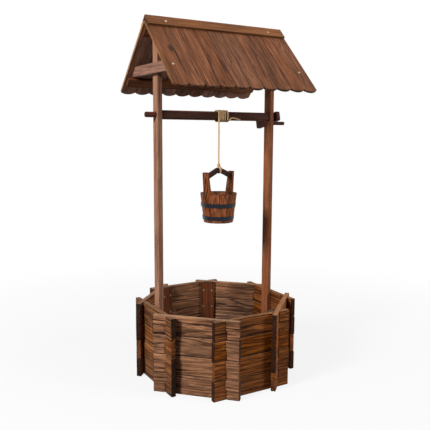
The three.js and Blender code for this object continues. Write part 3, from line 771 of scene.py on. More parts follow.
def timber(name, mesh, place, wood, node, tone=None, warm=None, half=None, arris=ARRIS,
           body="frame", slot=None):
    """A wooden piece. Its mesh has X along the grain, Y across it and Z through the board.

    The shader finds edges and cut ends from the half sizes, which are the mesh's own unless
    they are given. Tone and warmth are drawn by chance unless they are given.
    """
    obj = new_object(name, mesh)
    if half is None:
        half = np.abs([point.co for point in mesh.vertices]).max(axis=0)
    mesh.shade_smooth()
    if arris:
        bevel = obj.modifiers.new("arris", "BEVEL")
        bevel.width = arris
        bevel.segments = 2
        bevel.limit_method = "ANGLE"
        bevel.angle_limit = ARRIS_ANGLE
        bevel.harden_normals = True
        mesh = bake(obj).data
    seed = [chance.uniform(0, SEED_REACH) for _ in range(3)]
    tone = chance.uniform(*TONES) if tone is None else tone
    warm = chance.uniform(*WARMTHS) if warm is None else warm
    points = [point.co for point in mesh.vertices]
    store(mesh, "timber_at", points)
    for label, value in (("half", half), ("seed", seed), ("tone", tone), ("warm", warm)):
        store(mesh, "timber_" + label, [value] * len(points))
    mesh.transform(place)
    mesh.materials.clear()
    mesh.materials.append(WOODS[wood])
    return tie(obj, body, slot or wood, node) if node else obj


def shake(reach):
    """A number by chance, up to this far to either side of nothing."""
    return chance.uniform(-reach, reach)


def count_pieces(start):
    """Says how many pieces of a kind there are now."""
    print(start, sum(name.startswith(start) for name in PIECES), "pieces")


print("an arris is rounded by", round(ARRIS / MM, 1), "mm")

# %% [markdown]
# ## Base walls
# Each side is four boards. A board is notched half through its height where it meets its
# neighbours, so that the two lock together and their ends run past each other as short
# stubs. The notch could be cut with a Boolean, but its walls lie at 45 degrees in plan and
# are flat, so they come out exactly when the board's inner and outer outlines differ.

# %% Wall boards
BOARD_THICK = 18 * MM
BOARD_HIGH = 72.4 * MM
COURSES = 4
COURSE_SEAM = 0.6 * MM
STUB = 49 * MM
WALL_OUTER = WALL_INNER + BOARD_THICK
HALF_SIDE = WALL_OUTER * math.tan(SIDE_ANGLE / 2)
WALL_TOP = COURSES * BOARD_HIGH - COURSE_SEAM
LAP_PLAY = 1.7 * MM
LAP_GAP = 0.3 * MM
BOARD_PUSH = 1.6 * MM
TONE_SPREAD = 0.3
WARM_SPREAD = 0.12
# Each side's name, its stubs' shares of the full length, its tone and how warm its wood is.
# Tone and warmth partly paint each side's light and sheen into its colour
SIDE_LOOKS_AND_PAINTED_LIGHT = [
    ("right", (1.0, 0.94, 1.03, 0.97), 0.4, 0.5),
    ("back_right", (0.96, 1.02, 0.98, 1.04), 0.45, 0.0),
    ("back", (1.03, 0.97, 1.0, 0.93), 0.3, 0.0),
    ("back_left", (0.98, 1.04, 0.95, 1.01), 0.3, 0.4),
    ("left", (1.02, 0.96, 1.04, 0.99), 0.05, 0.35),
    ("front_left", (0.97, 1.01, 0.94, 1.03), 0.5, 0.05),
    ("front", (1.01, 0.95, 1.03, 0.98), 0.35, 0.6),
    ("front_right", (0.95, 1.03, 0.99, 1.02), 0.3, 0.6),
]


def board_outline(level, start, end, half, up):
    """A board's outline at a distance from the middle, notched from above or from below."""
    near = (WALL_INNER - LAP_PLAY) * math.sqrt(2) - level
    far = (WALL_OUTER + LAP_PLAY) * math.sqrt(2) - level
    outline = [
        (-start, -half), (end, -half), (end, half), (far, half), (far, -LAP_GAP),
        (near, -LAP_GAP), (near, half), (-near, half), (-near, -LAP_GAP), (-far, -LAP_GAP),
        (-far, half), (-start, half),
    ]
    return [(x, y * up) for x, y in outline]


def wall_boards():
    half = (BOARD_HIGH - COURSE_SEAM) / 2
    for side, (side_name, shares, side_tone_and_painted_light, side_warmth_and_painted_sheen) in enumerate(SIDE_LOOKS_AND_PAINTED_LIGHT):
        outward, along = heading(side * SIDE_ANGLE), heading(side * SIDE_ANGLE + math.pi / 2)
        up = -1 if side % 2 else 1
        for course in range(COURSES):
            start, end = (HALF_SIDE + STUB * shares[i] for i in (course, COURSES - 1 - course))
            inner, outer = (
                board_outline(level, start, end, half, up) for level in (WALL_INNER, WALL_OUTER)
            )
            push = chance.uniform(0, BOARD_PUSH)
            # Painted light: the side's tone and warmth partly stand for its light and sheen
            tone = side_tone_and_painted_light + shake(TONE_SPREAD)
            warm = side_warmth_and_painted_sheen + shake(WARM_SPREAD)
            middle = outward * ((WALL_INNER + WALL_OUTER) / 2 + push)
            middle.z = course * BOARD_HIGH + half
            timber(
                f"board_{side_name}_{course + 1}", plate(inner, BOARD_THICK, outer),
                axes(along, Z, outward, middle), "wall_wood", f"wall_{side_name}",
                tone, warm, arris=1.8 * MM,
            )


wall_boards()
count_pieces("board_")

# %% [markdown]
# Four of the corners have a batten, sawn to a blunt wedge, so that its flat face looks at
# the middle and its back fills the corner. In every course two screws go through it, one
# into each of the boards that cross there. The corners beside a post have no batten,
# because the post itself is screwed to the boards there.

# %% Corner battens
BATTEN_WIDE = 60 * MM
BATTEN_EDGE = 8 * MM
BATTEN_CORNERS = (1, 2, 5, 6)
BATTEN_APEX = (WALL_INNER - SEAT) / math.cos(SIDE_ANGLE / 2)
BATTEN_BACK = BATTEN_APEX - BATTEN_WIDE / 2 * math.tan(SIDE_ANGLE / 2)
BATTEN_FACE = BATTEN_BACK - BATTEN_EDGE


def corner_angle(corner):
    return corner * SIDE_ANGLE + SIDE_ANGLE / 2


def corner_battens():
    half, long = BATTEN_WIDE / 2, WALL_TOP / 2
    middle = (BATTEN_FACE + BATTEN_APEX) / 2
    section = [
        (-half, BATTEN_FACE - middle), (half, BATTEN_FACE - middle),
        (half, BATTEN_BACK - middle), (0, BATTEN_APEX - middle), (-half, BATTEN_BACK - middle),
    ]
    for i, corner in enumerate(BATTEN_CORNERS):
        outward = heading(corner_angle(corner))
        across = heading(corner_angle(corner) - math.pi / 2)
        timber(
            f"batten_{i + 1}", beam(section, long),
            axes(Z, across, outward, outward * middle + Z * long),
            "batten_wood", f"corner_batten_{i + 1}",
            half=(long, half, (BATTEN_BACK - BATTEN_FACE) / 2),
        )


corner_battens()
count_pieces("batten_")

# %% [markdown]
# ## Floor
# Soil rests on slats with gaps between them for the water, and three bearers hold the slats
# off the ground. The slats stop against the walls, so each is a strip cut by the eight wall
# lines and the four batten lines. Clipping one polygon by those lines, one at a time, is
# short and exact.

# %% Floor outlines
def clip(polygon, angle, reach):
    """The part of a convex polygon on the near side of a line, given by the way it faces."""
    kept = []
    across, up = math.cos(angle), math.sin(angle)
    for a, b in zip(polygon, polygon[1:] + polygon[:1]):
        side_a, side_b = (p[0] * across + p[1] * up - reach for p in (a, b))
        if side_a <= 0:
            kept.append(a)
        if side_a * side_b < 0:
            t = side_a / (side_a - side_b)
            kept.append((a[0] + t * (b[0] - a[0]), a[1] + t * (b[1] - a[1])))
    return kept


def inside_walls(x, y):
    """The part of a rectangle, given by its two spans, that is inside walls and battens."""
    polygon = [(x[0], y[0]), (x[1], y[0]), (x[1], y[1]), (x[0], y[1])]
    lines = [(side * SIDE_ANGLE, WALL_INNER) for side in range(SIDES)]
    lines += [(corner_angle(corner), BATTEN_FACE) for corner in BATTEN_CORNERS]
    for angle, reach in lines:
        polygon = clip(polygon, angle, reach - SEAT)
    return polygon


def notch_for_posts(polygon):
    """Cuts the two posts' places out of the ends of the middle slat."""
    half = POST_WIDE / 2 + SEAT
    notched = []
    for a, b in zip(polygon, polygon[1:] + polygon[:1]):
        notched.append(a)
        if abs(a[0] - b[0]) < MM and a[1] * b[1] < 0:
            low, high = (-half, half) if b[1] > a[1] else (half, -half)
            side = math.copysign(POST_INNER - SEAT, a[0])
            notched += [(a[0], low), (side, low), (side, high), (a[0], high)]
    return notched


print("a square as wide as the walls keeps", len(inside_walls((-1, 1), (-1, 1))), "corners")

# %% [markdown]
# Seven slats fill the base from wall to wall, and the middle one is notched round the two
# posts. One sheet with slots cut in it would look the same from above, but its grain would
# run through the gaps, so each slat is its own piece, as sawn, and so is each bearer.

# %% Floor slats and bearers
BEARER_HIGH = 20 * MM
BEARER_WIDE = 40 * MM
BEARERS = (-130 * MM, 0, 130 * MM)
SLAT_THICK = 12 * MM
SLAT_GAP = 8 * MM
SLATS = 7
SLAT_WIDE = (2 * (WALL_INNER - SEAT) - (SLATS - 1) * SLAT_GAP) / SLATS
SLAT_MIDDLES = [(i - (SLATS - 1) / 2) * (SLAT_WIDE + SLAT_GAP) for i in range(SLATS)]


def floor_piece(name, outline, thick, place):
    timber(name, plate(outline, thick), place, "floor_wood", "floor_frame")


def floor_pieces():
    full = (-WALL_INNER, WALL_INNER)
    for i, x in enumerate(BEARERS):
        strip = inside_walls((x - BEARER_WIDE / 2, x + BEARER_WIDE / 2), full)
        floor_piece(
            f"floor_bearer_{i + 1}", [(y, x - px) for px, y in strip], BEARER_HIGH,
            axes(Y, -X, Z, (x, 0, BEARER_HIGH / 2)),
        )
    for i, middle in enumerate(SLAT_MIDDLES):
        strip = inside_walls(full, (middle - SLAT_WIDE / 2, middle + SLAT_WIDE / 2))
        if i == SLATS // 2:
            strip = notch_for_posts(strip)
        floor_piece(
            f"floor_slat_{i + 1}", [(x, y - middle) for x, y in strip], SLAT_THICK,
            shift(0, middle, BEARER_HIGH + SLAT_THICK / 2),
        )


floor_pieces()
count_pieces("floor_")

# %% [markdown]
# ## Posts and tie beams
# The two posts carry the roof, with their tops cut to the roof's slope. A tie beam is
# screwed across each post's outer face, and its ends carry the end planks.

# %% Posts and tie beams
PITCH = math.radians(45.4)
CAP_THICK = 9 * MM
PLANK_THICK = 9 * MM
PURLIN_THICK = 15 * MM
PLANK_DEPTH = CAP_THICK + SEAT
PURLIN_DEPTH = PLANK_DEPTH + PLANK_THICK + SEAT
TIE_HIGH = 36 * MM
TIE_THICK = 18 * MM
TENON = 10 * MM
BORE_PLAY = 0.5 * MM
ENDS = (("left", -1), ("right", 1))


def bore(mesh, radius, x):
    """The mesh with a round hole through it along its own Z."""
    blank = new_object("blank", mesh)
    cutter = new_object("bore", plate(circle(radius), 2 * POST_THICK))
    cutter.location.x = x
    cut = blank.modifiers.new("bore", "BOOLEAN")
    cut.object = cutter
    cut.solver = "EXACT"
    mesh = bake(blank).data
    for obj in (blank, cutter):
        bpy.data.objects.remove(obj)
    return mesh


def posts_and_ties():
    half, thick = POST_WIDE / 2, POST_THICK / 2
    peak = HEIGHT - (PURLIN_DEPTH + PURLIN_THICK + SEAT) / math.cos(PITCH)
    tall = peak / 2
    shoulder = tall - half * math.tan(PITCH)
    post = [(-tall, -half), (shoulder, -half), (tall, 0), (shoulder, half), (-tall, half)]
    top = TIE_BOTTOM + TIE_HIGH
    long, short = (
        (HEIGHT - PURLIN_DEPTH / math.cos(PITCH) - z) / math.tan(PITCH) for z in (TIE_BOTTOM, top)
    )
    middle, low = (TIE_BOTTOM + top) / 2, TIE_HIGH / 2
    beam_outline = [(-long, -low), (long, -low), (short, low), (-short, low)]
    for name, end in ENDS:
        # Painted sheen: the left post's wood is greyer than the right post's
        timber(
            f"post_{name}_timber",
            bore(plate(post, POST_THICK), TENON + BORE_PLAY, AXLE - tall),
            axes(Z, Y, -X, (end * (POST_INNER + thick), 0, tall)),
            "post_wood", f"post_{name}", tone=0.5, warm=0.35 + end * 0.25,
        )
        x = end * (POST_OUTER + SEAT + TIE_THICK / 2)
        timber(
            f"tie_{name}_timber", plate(beam_outline, TIE_THICK),
            axes(Y, Z, X, (x, 0, middle)), "tie_wood", f"tie_beam_{name}", tone=0.5,
        )


posts_and_ties()
count_pieces("post_")
count_pieces("tie_")

# %% [markdown]
# ## Roof
# Ten planks with a rounded lower end make each slope. They lie on two purlins, and two cap
# boards close the ridge. Each slope is modelled in its own axes, down the slope and out of
# it, and then carried to its place, which keeps every outline flat and easy to read.

# %% Roof
CAP_WIDE = 47 * MM
CAP_LONG = 582 * MM
PLANKS = 10
PLANK_WIDE = 58.7 * MM
PLANK_PITCH = 59 * MM
SLOPE_LONG = 340 * MM
SCALLOP = 10 * MM
PURLIN_WIDE = 35 * MM
PURLIN_LONG = 574 * MM
SCALLOP_STEPS = 14
PLANK_SHAKE = 0.25 * MM
PLANK_MIDDLES = [(i - (PLANKS - 1) / 2) * PLANK_PITCH for i in range(PLANKS)]


def slope_axes(back):
    """The slope's own axes with X down the slope and Z out of it, from the ridge line."""
    down = (0, -math.cos(PITCH), -math.sin(PITCH))
    out = (0, -math.sin(PITCH), math.cos(PITCH))
    return spin(math.pi * back) @ axes(down, X, out, Z * HEIGHT)


def plank_outline(start):
    """From the ridge end to the scalloped end, about the plank's middle line."""
    half = PLANK_WIDE / 2
    radius = (half * half + SCALLOP * SCALLOP) / (2 * SCALLOP)
    spread = math.asin(half / radius)
    outline = [(start, half), (start, -half)]
    for i in range(SCALLOP_STEPS + 1):
        angle = -spread + 2 * spread * i / SCALLOP_STEPS
        x = SLOPE_LONG + SCALLOP - radius + radius * math.cos(angle)
        outline.append((x, radius * math.sin(angle)))
    return outline


def slope_planks(name, back):
    start = (PLANK_DEPTH + PLANK_THICK) * math.tan(PITCH) + SEAT
    middle = (start + SLOPE_LONG) / 2
    outline = [(x - middle, y) for x, y in plank_outline(start)]
    for i, y in enumerate(PLANK_MIDDLES):
        number = PLANKS - i if back else i + 1
        z = shake(PLANK_SHAKE) - PLANK_DEPTH - PLANK_THICK / 2
        wood = "gable_plank_wood" if i in (0, PLANKS - 1) else "plank_wood"
        timber(
            f"plank_{name}_{number:02d}_timber", plate(outline, PLANK_THICK),
            slope_axes(back) @ shift(middle, y, z), wood, f"plank_{name}_{number:02d}",
            arris=1.1 * MM, slot="plank_wood",
        )


def slope_beams(name, back):
    """The purlins and the ridge's cap, with X along the ridge and Y up the slope."""
    lengthwise = slope_axes(back) @ axes(Y, -X, Z)
    long, wide, thick = PURLIN_LONG / 2, PURLIN_WIDE / 2, PURLIN_THICK / 2
    section = [(-wide, -thick), (wide, -thick), (wide, thick), (-wide, thick)]
    at_ridge = (PURLIN_DEPTH + PURLIN_THICK) * math.tan(PITCH) + SEAT
    tie_seat = HEIGHT - (TIE_BOTTOM - SEAT)
    at_eave = (tie_seat - PURLIN_DEPTH * math.cos(PITCH)) / math.sin(PITCH)
    for label, begin in (("ridge", at_ridge), ("eave", at_eave)):
        timber(
            f"{label}_purlin_{name}_timber", beam(section, long),
            lengthwise @ shift(0, -(begin + wide), -(PURLIN_DEPTH + thick)),
            "purlin_wood", f"{label}_purlin_{name}",
        )
    long, wide, thick = CAP_LONG / 2, CAP_WIDE / 2, CAP_THICK / 2
    inner = CAP_THICK * math.tan(PITCH) + SEAT / 2
    section = [(wide - SEAT / 2, thick), (wide - inner, -thick), (-wide, -thick), (-wide, thick)]
    timber(
        f"ridge_cap_{name}_timber", beam(section, long), lengthwise @ shift(0, -wide, -thick),
        "cap_wood", f"ridge_cap_{name}", tone=0.5, warm=0.5, arris=0.6 * MM,
    )


for slope_name, is_back in (("front", False), ("back", True)):
    slope_planks(slope_name, is_back)
    slope_beams(slope_name, is_back)
count_pieces("plank_")

# %% [markdown]
# ## Windlass
# The bar is a square with its edges planed off, and a round tenon at each end turns in the
# posts. The crank arm sits on the right tenon, and a dowel in its other end is the handle.

# %% Windlass
BAR_END = POST_INNER - 1.5 * MM
PIN_END = POST_OUTER + 40 * MM
ARM_NEAR = POST_OUTER + 10 * MM
ARM_THICK = 17.5 * MM
ARM_WIDE = 36 * MM
ARM_FRONT = 26 * MM
ARM_REACH = 96 * MM
ARM_BACK = 122 * MM
ARM_TILT = math.radians(-13.3)
GRIP_RADIUS = 7.5 * MM
GRIP_LONG = 107 * MM
TENON_CHAMFER = 2 * MM
ARM_CORNER = 4 * MM
GRIP_ROUND = 4 * MM
GRIP_SINK = 0.4 * MM
GRIP_FLARE = 0.6 * MM
GRIP_STEPS = 6
at_axle = shift(0, 0, AXLE)


def cut_corners(low, high, half, corner):
    """A rectangle from low to high, with its four corners cut off."""
    return [
        (low + corner, -half), (high - corner, -half), (high, corner - half),
        (high, half - corner), (high - corner, half), (low + corner, half),
        (low, half - corner), (low, corner - half),
    ]


def bar():
    half = BAR_SIZE / 2
    timber(
        "windlass_bar_timber", beam(cut_corners(-half, half, half, BAR_CHAMFER), BAR_END),
        at_axle, "bar_wood", "windlass_bar", tone=0.5, arris=1.5 * MM, body="windlass",
    )
    for (name, end), tip in zip(ENDS, (PIN_END, ARM_NEAR + ARM_THICK)):
        profile = [
            (end * BAR_END, TENON), (end * (tip - TENON_CHAMFER), TENON),
            (end * tip, TENON - TENON_CHAMFER),
        ]
        timber(
            f"windlass_tenon_{name}", turned(profile), at_axle, "bar_wood", "windlass_bar",
            tone=0.6, half=(PIN_END, 1, 1), arris=0.6 * MM, body="windlass",
        )


def crank():
    tilt = at_axle @ spin(ARM_TILT, "X")
    wide, thick = ARM_WIDE / 2, ARM_THICK / 2
    timber(
        "crank_arm_timber",
        plate(cut_corners(-ARM_FRONT, ARM_BACK, wide, ARM_CORNER), ARM_THICK),
        tilt @ axes(Y, Z, X, X * (ARM_NEAR + thick)),
        "arm_wood", "crank_arm", tone=0.5, body="windlass",
    )
    profile = [(-GRIP_SINK, GRIP_RADIUS - GRIP_FLARE), (0, GRIP_RADIUS)]
    for i in range(GRIP_STEPS + 1):
        beta = i / GRIP_STEPS * math.pi / 2
        x = ARM_THICK + GRIP_LONG - GRIP_ROUND * (1 - math.sin(beta))
        profile.append((x, GRIP_RADIUS - GRIP_ROUND * (1 - math.cos(beta))))
    timber(
        "crank_handle_timber", turned(profile), tilt @ shift(ARM_NEAR, ARM_REACH, 0),
        "arm_wood", "crank_handle", tone=0.35, half=(1, 1, 1), arris=0, body="windlass",
        slot="grip_wood",
    )


bar()
crank()
count_pieces("windlass_")

# %% [markdown]
# ## Bucket
# The bucket is coopered: tapered staves stand round a disc and two steel hoops squeeze them
# together. Two long staves opposite each other rise as ears and hold the handle. One short
# stave is modelled, and Geometry Nodes repeat it round the axis, skip the two places of the
# ears, and give each copy its own number, so that no two staves have the same grain.

# %% Stave shapes
RIM = HANDLE_PEAK - 99 * MM
FOOT = RIM - 112 * MM
RIM_RADIUS = 70.5 * MM
FOOT_RADIUS = 56.5 * MM
STAVE_THICK = 9 * MM
STAVES = 12
STAVE_HALF = math.pi / STAVES
STAVE_TRIM = 0.0018
STAVE_STEPS = 4
STAVE_SEED = 1
STAVE_WARMTHS = (0.25, 0.5)
UPRIGHT = axes(Z, -Y, X)


def radius_at(z, inset=0.0):
    return between((FOOT_RADIUS, RIM_RADIUS), (z - FOOT) / (RIM - FOOT)) - inset


def inner_at(z):
    """How far the flat back of a stave is from the bucket's axis."""
    return radius_at(z, STAVE_THICK) * math.cos(STAVE_HALF)


def stave_ring(z, reach):
    """One level of a stave: an arc outside, a straight back. Axes: up, across, outward."""
    ring = []
    for i in range(STAVE_STEPS + 1):
        angle = reach * (1 - 2 * i / STAVE_STEPS)
        ring.append((z, radius_at(z) * math.sin(angle), radius_at(z) * math.cos(angle)))
    back, inner = inner_at(z) * math.tan(reach), inner_at(z)
    return [*ring, (z, -back, inner), (z, back, inner)]


STAVE_LEVELS = [stave_ring(z, STAVE_HALF - STAVE_TRIM) for z in (FOOT, RIM)]


def upright_stave(levels):
    """A stave's mesh about its own middle, and the matrix that stands it in its place."""
    middle = (levels[0][0][0] + levels[-1][0][0]) / 2
    reach = radius_at(middle, STAVE_THICK / 2)
    mesh = skin(levels)
    mesh.transform(shift(-middle, 0, -reach))
    return mesh, UPRIGHT @ shift(middle, 0, reach)


print("stave", round(2 * RIM_RADIUS * math.sin(STAVE_HALF), 4), "m wide at the rim")

# %% [markdown]
# Geometry Nodes set copies of one shape by a rule. A few steps come back in every tree: a
# random number for each copy, a turn about one axis, and an end that makes the copies real,
# because the export keeps only real meshes. A function for each step keeps the trees short.

# %% Helpers for Geometry Nodes
def by_chance(w, kind, low, high, seed):
    """A random number or vector for each copy."""
    number = w.node("FunctionNodeRandomValue", data_type=kind)
    limits = [socket for socket in number.inputs if socket.enabled]
    w.put(limits[0], low)
    w.put(limits[1], high)
    w.put(number.inputs["Seed"], seed)
    return [socket for socket in number.outputs if socket.enabled][0]


def turn_by(w, angle):
    return w.made("FunctionNodeEulerToRotation", (w.join(0.0, 0.0, angle),))


def realized(w, geometry, material):
    """The copies as plain mesh with a material: the end of every tree here."""
    real = w.made("GeometryNodeRealizeInstances", (geometry,))
    return w.made("GeometryNodeSetMaterial", {"Geometry": real, "Material": material})


def run_tree(obj, tree, **values):
    """Runs a Geometry Nodes tree on an object and keeps the plain mesh."""
    modifier = obj.modifiers.new(tree.name, "NODES")
    modifier.node_group = tree
    for item in tree.interface.items_tree:
        label = item.name.lower().replace(" ", "_")
        if item.in_out == "INPUT" and label in values:
            modifier[item.identifier] = values[label]
    return bake(obj)


# %% [markdown]
# A cooper sets staves side by side until the ring closes. An Array modifier that turns each
# copy could do that, but it can't leave out the ears' places or give every stave its own
# grain. Points that turn by their own number, and numbers stored on the copies, can do both.

# %% Short staves by Geometry Nodes
def staves_tree():
    """Repeats the stave round the vertical axis, without the places of the ears."""
    w, given, made = new_tree("Geometry", "staves_round_axis", [
        ("Stave", "Geometry"), ("Places", "Int", STAVES), ("Ears Every", "Int", STAVES // 2),
        ("Seed", "Int", SEED), ("Wood", "Material"),
    ], [("Staves", "Geometry")])
    index = w.made("GeometryNodeInputIndex", ())
    left_over = w.math("MODULO", index, given["Ears Every"])
    ear = w.made(
        "FunctionNodeCompare", (left_over, 0.5), data_type="FLOAT", operation="LESS_THAN"
    )
    angle = w.math("DIVIDE", w.times(index, math.tau), given["Places"])
    copies = w.made("GeometryNodeInstanceOnPoints", {
        "Points": w.made("GeometryNodePoints", {"Count": given["Places"]}),
        "Instance": given["Stave"],
        "Rotation": turn_by(w, angle),
    })
    kept = {"Geometry": copies, "Selection": ear}
    geometry = w.made("GeometryNodeDeleteGeometry", kept, domain="INSTANCE")
    for label, kind, low, high in (
        ("timber_seed", "FLOAT_VECTOR", (0,) * 3, (SEED_REACH,) * 3),
        ("timber_tone", "FLOAT", *TONES),
        ("timber_warm", "FLOAT", *STAVE_WARMTHS),
    ):
        number = by_chance(w, kind, low, high, given["Seed"])
        stored = {"Geometry": geometry, "Name": label, "Value": number}
        geometry = w.made(
            "GeometryNodeStoreNamedAttribute", stored, data_type=kind, domain="INSTANCE"
        )
    w.put(made["Staves"], realized(w, geometry, given["Wood"]))
    return w.tree


def bucket_staves():
    half = ((RIM - FOOT) / 2, RIM_RADIUS * math.sin(STAVE_HALF), 1)
    mesh, place = upright_stave(STAVE_LEVELS)
    stave = timber(
        "bucket_short_staves", mesh, place, "stave_wood", None, half=half, arris=0.9 * MM
    )
    for label in ("timber_seed", "timber_tone", "timber_warm"):
        stave.data.attributes.remove(stave.data.attributes[label])
    run_tree(stave, staves_tree(), seed=STAVE_SEED, wood=WOODS["stave_wood"])
    stave.data.transform(bucket_turn)
    tie(stave, "bucket", "stave_wood", "bucket_body")
    print("short staves", len(stave.data.polygons), "faces")


bucket_staves()

# %% [markdown]
# The ears are staves that go on upwards to a narrow top with cut corners. The bottom is
# three boards sawn round together, and the handle is a bar cut like a shallow roof, with a
# notch that keeps the rope in the middle. A sculpted mesh would hide these plain saw cuts,
# so they are made from levels and outlines again.

# %% Ears, bottom and handle
EAR_TOP = RIM + 81 * MM
EAR_HALF = 13 * MM
EAR_CORNER = 2.5 * MM
BOTTOM_THICK = 9 * MM
BOTTOM_LOW = FOOT + 6 * MM
BOTTOM_BOARD = 34 * MM
BOTTOM_GAP = 0.2 * MM
BOTTOM_PLAY = 0.4 * MM
BOTTOM_STEPS = 48
HANDLE_RISE = 26 * MM
HANDLE_EAVE = HANDLE_PEAK - HANDLE_RISE
HANDLE_NOTCH = 7 * MM
NOTCH_DEEP = 4 * MM


def bucket_ears():
    levels = list(STAVE_LEVELS)
    for z, half in ((EAR_TOP - EAR_CORNER, EAR_HALF), (EAR_TOP, EAR_HALF - EAR_CORNER)):
        levels.append(stave_ring(z, math.asin(half / radius_at(z))))
    for name, angle, tone in (("right", 0, 0.4), ("left", math.pi, 0.6)):
        mesh, place = upright_stave(levels)
        timber(
            f"bucket_ear_{name}_stave", mesh, bucket_turn @ spin(angle) @ place, "ear_wood",
            f"bucket_ear_{name}", tone, half=((EAR_TOP - FOOT) / 2, 1, 1), arris=1 * MM,
            body="bucket",
        )


def bucket_bottom():
    radius = radius_at(BOTTOM_LOW, STAVE_THICK) - BOTTOM_PLAY
    reach = BOTTOM_BOARD / 2 - BOTTOM_GAP
    for i in (-1, 0, 1):
        local = [(x, y - i * BOTTOM_BOARD) for x, y in circle(radius, BOTTOM_STEPS)]
        local = clip(clip(local, math.pi / 2, reach), -math.pi / 2, reach)
        timber(
            f"bucket_bottom_{i + 2}", plate(local, BOTTOM_THICK),
            bucket_turn @ shift(0, i * BOTTOM_BOARD, BOTTOM_LOW + BOTTOM_THICK / 2),
            "stave_wood", "bucket_body", tone=0.2, arris=0.7 * MM, body="bucket",
            half=(radius, BOTTOM_BOARD / 2, BOTTOM_THICK / 2),
        )


def bucket_handle():
    """A shallow roof between the ears, with a notch in its top for the rope."""
    top, bottom = (inner_at(z) - SEAT for z in (HANDLE_EAVE, HANDLE_EAVE - HANDLE_ARM))
    shoulder = HANDLE_RISE - HANDLE_RISE * HANDLE_NOTCH / top
    right = [
        (bottom, -HANDLE_ARM), (top, 0), (HANDLE_NOTCH, shoulder),
        (HANDLE_NOTCH, shoulder - NOTCH_DEEP),
    ]
    left = [(-x, y) for x, y in reversed(right)]
    timber(
        "bucket_handle_timber",
        plate([(0, HANDLE_RISE - HANDLE_ARM), *right, *left], HANDLE_THICK),
        bucket_turn @ axes(X, Z, -Y, Z * HANDLE_EAVE),
        "yoke_wood", "bucket_handle", tone=0.5, half=(top, 1, HANDLE_THICK / 2), body="bucket",
    )


bucket_ears()
bucket_bottom()
bucket_handle()
count_pieces("bucket_")

# %% [markdown]
# ## Steel hoops
# A hoop is a flat band bent to the cone of the staves and painted blue-black. Hammering it
# down leaves dents and bright scratches along its edges, which a plain grey would miss.

# %% Hoops
HOOPS = (("upper", 37 * MM), ("lower", 86 * MM))
HOOP_HIGH = 16 * MM
HOOP_THICK = 1.2 * MM
HOOP_EDGE = 0.5 * MM
HOOP_START = math.radians(118)
HOOP_STEPS = 72
HOOP_LAP = 3
HOOP_RAMP = 1.5
HOOP_SHARP = math.radians(35)
HOOP_ROUND = 0.1
HOOP_UNDER = 0.92


def hoop_material():
    material, w, shader = new_material("hoop_steel")
    place = w.made("ShaderNodeTexCoord", (), "Object")
    rub = w.noise(place, (45, 45, 160), 4, 0.65)
    fine = w.noise(place, (260, 260, 500), 3, 0.6)
    bare = w.ease(rub, 0.56, 0.7)
    blue = w.mix(fine, srgb("#0b0e16"), srgb("#191e2a"))
    w.put(shader["Base Color"], w.mix(w.times(bare, 0.4), blue, srgb("#474f63")))
    w.put(shader["Metallic"], w.ease(bare, 0.0, 1.0, 0.1, 0.6))
    w.put(shader["Roughness"], w.ease(rub, 0.3, 0.7, 0.4, 0.24))
    w.put(shader["Specular IOR Level"], 0.25)
    w.bump(shader, rub, 0.4, 0.2 * MM)
    return material


def hoop(name, drop, steel):
    """A band whose two ends overlap a little, as a riveted hoop's do."""
    top = RIM - drop
    bottom = top - HOOP_HIGH
    rings = []
    for i in range(HOOP_STEPS + HOOP_LAP + 1):
        out = heading(HOOP_START + math.tau * i / HOOP_STEPS)
        lift = HOOP_THICK * min(1, max(0, (i - HOOP_STEPS + HOOP_RAMP) / HOOP_RAMP))
        face, edge, back = lift + HOOP_THICK, lift + HOOP_THICK * HOOP_ROUND, lift * HOOP_UNDER
        section = [
            (bottom, edge), (bottom + HOOP_EDGE, face), (top - HOOP_EDGE, face), (top, edge),
            (top, back), (bottom, back),
        ]
        rings.append([out * (radius_at(z, -SEAT) + thick) + Z * z for z, thick in section])
    mesh = skin(rings)
    mesh.set_sharp_from_angle(angle=HOOP_SHARP)
    mesh.transform(bucket_turn)
    mesh.materials.append(steel)
    obj = new_object(f"hoop_{name}_band", mesh)
    tie(obj, "bucket", "hoop_steel", f"bucket_hoop_{name}")


hoop_steel = hoop_material()
for hoop_name, hoop_drop in HOOPS:
    hoop(hoop_name, hoop_drop, hoop_steel)
count_pieces("hoop_")

# %% [markdown]
# ## Screws and nails
# Countersunk cross-head screws hold the boards, the beams and the roof, and small nails hold
# the bucket's handle. One head is modelled. The places are points that carry the direction
# they look in, and one Geometry Nodes tree sets a head on each with its own turn.

# %% Screw head and tree
HEAD_STEPS = 20
HEAD_LEVELS = ((1.0, -0.35), (1.0, -0.08), (0.92, 0.0))
CROSS_ARM = 0.55
CROSS_HALF = 0.13
CROSS_DEEP = -0.3
CROSS_TAPER = (0.7, 0.8)


def screw_head():
    """A flat head of radius 1 with a cross cut in it."""
    bm = bmesh.new()
    rings = [
        [bm.verts.new((x, y, z)) for x, y in circle(radius, HEAD_STEPS)]
        for radius, z in HEAD_LEVELS
    ]
    for low, high in zip(rings, rings[1:]):
        band(bm, low, high)
    bm.faces.new(rings[0][::-1])
    a, h = CROSS_ARM, CROSS_HALF
    cross = [
        (a, -h), (a, h), (h, h), (h, a), (-h, a), (-h, h), (-a, h), (-a, -h), (-h, -h),
        (-h, -a), (h, -a), (h, -h),
    ]
    brim = [bm.verts.new((x, y, 0)) for x, y in cross]
    sunk = [
        bm.verts.new((x * CROSS_TAPER[0], y * CROSS_TAPER[1], CROSS_DEEP)) for x, y in cross
    ]
    band(bm, brim, sunk)
    bm.faces.new(sunk)
    open_edges = [edge for edge in bm.edges if edge.is_boundary]
    bmesh.ops.triangle_fill(bm, use_beauty=True, edges=open_edges)
    return new_object("screw_head", to_mesh(bm))


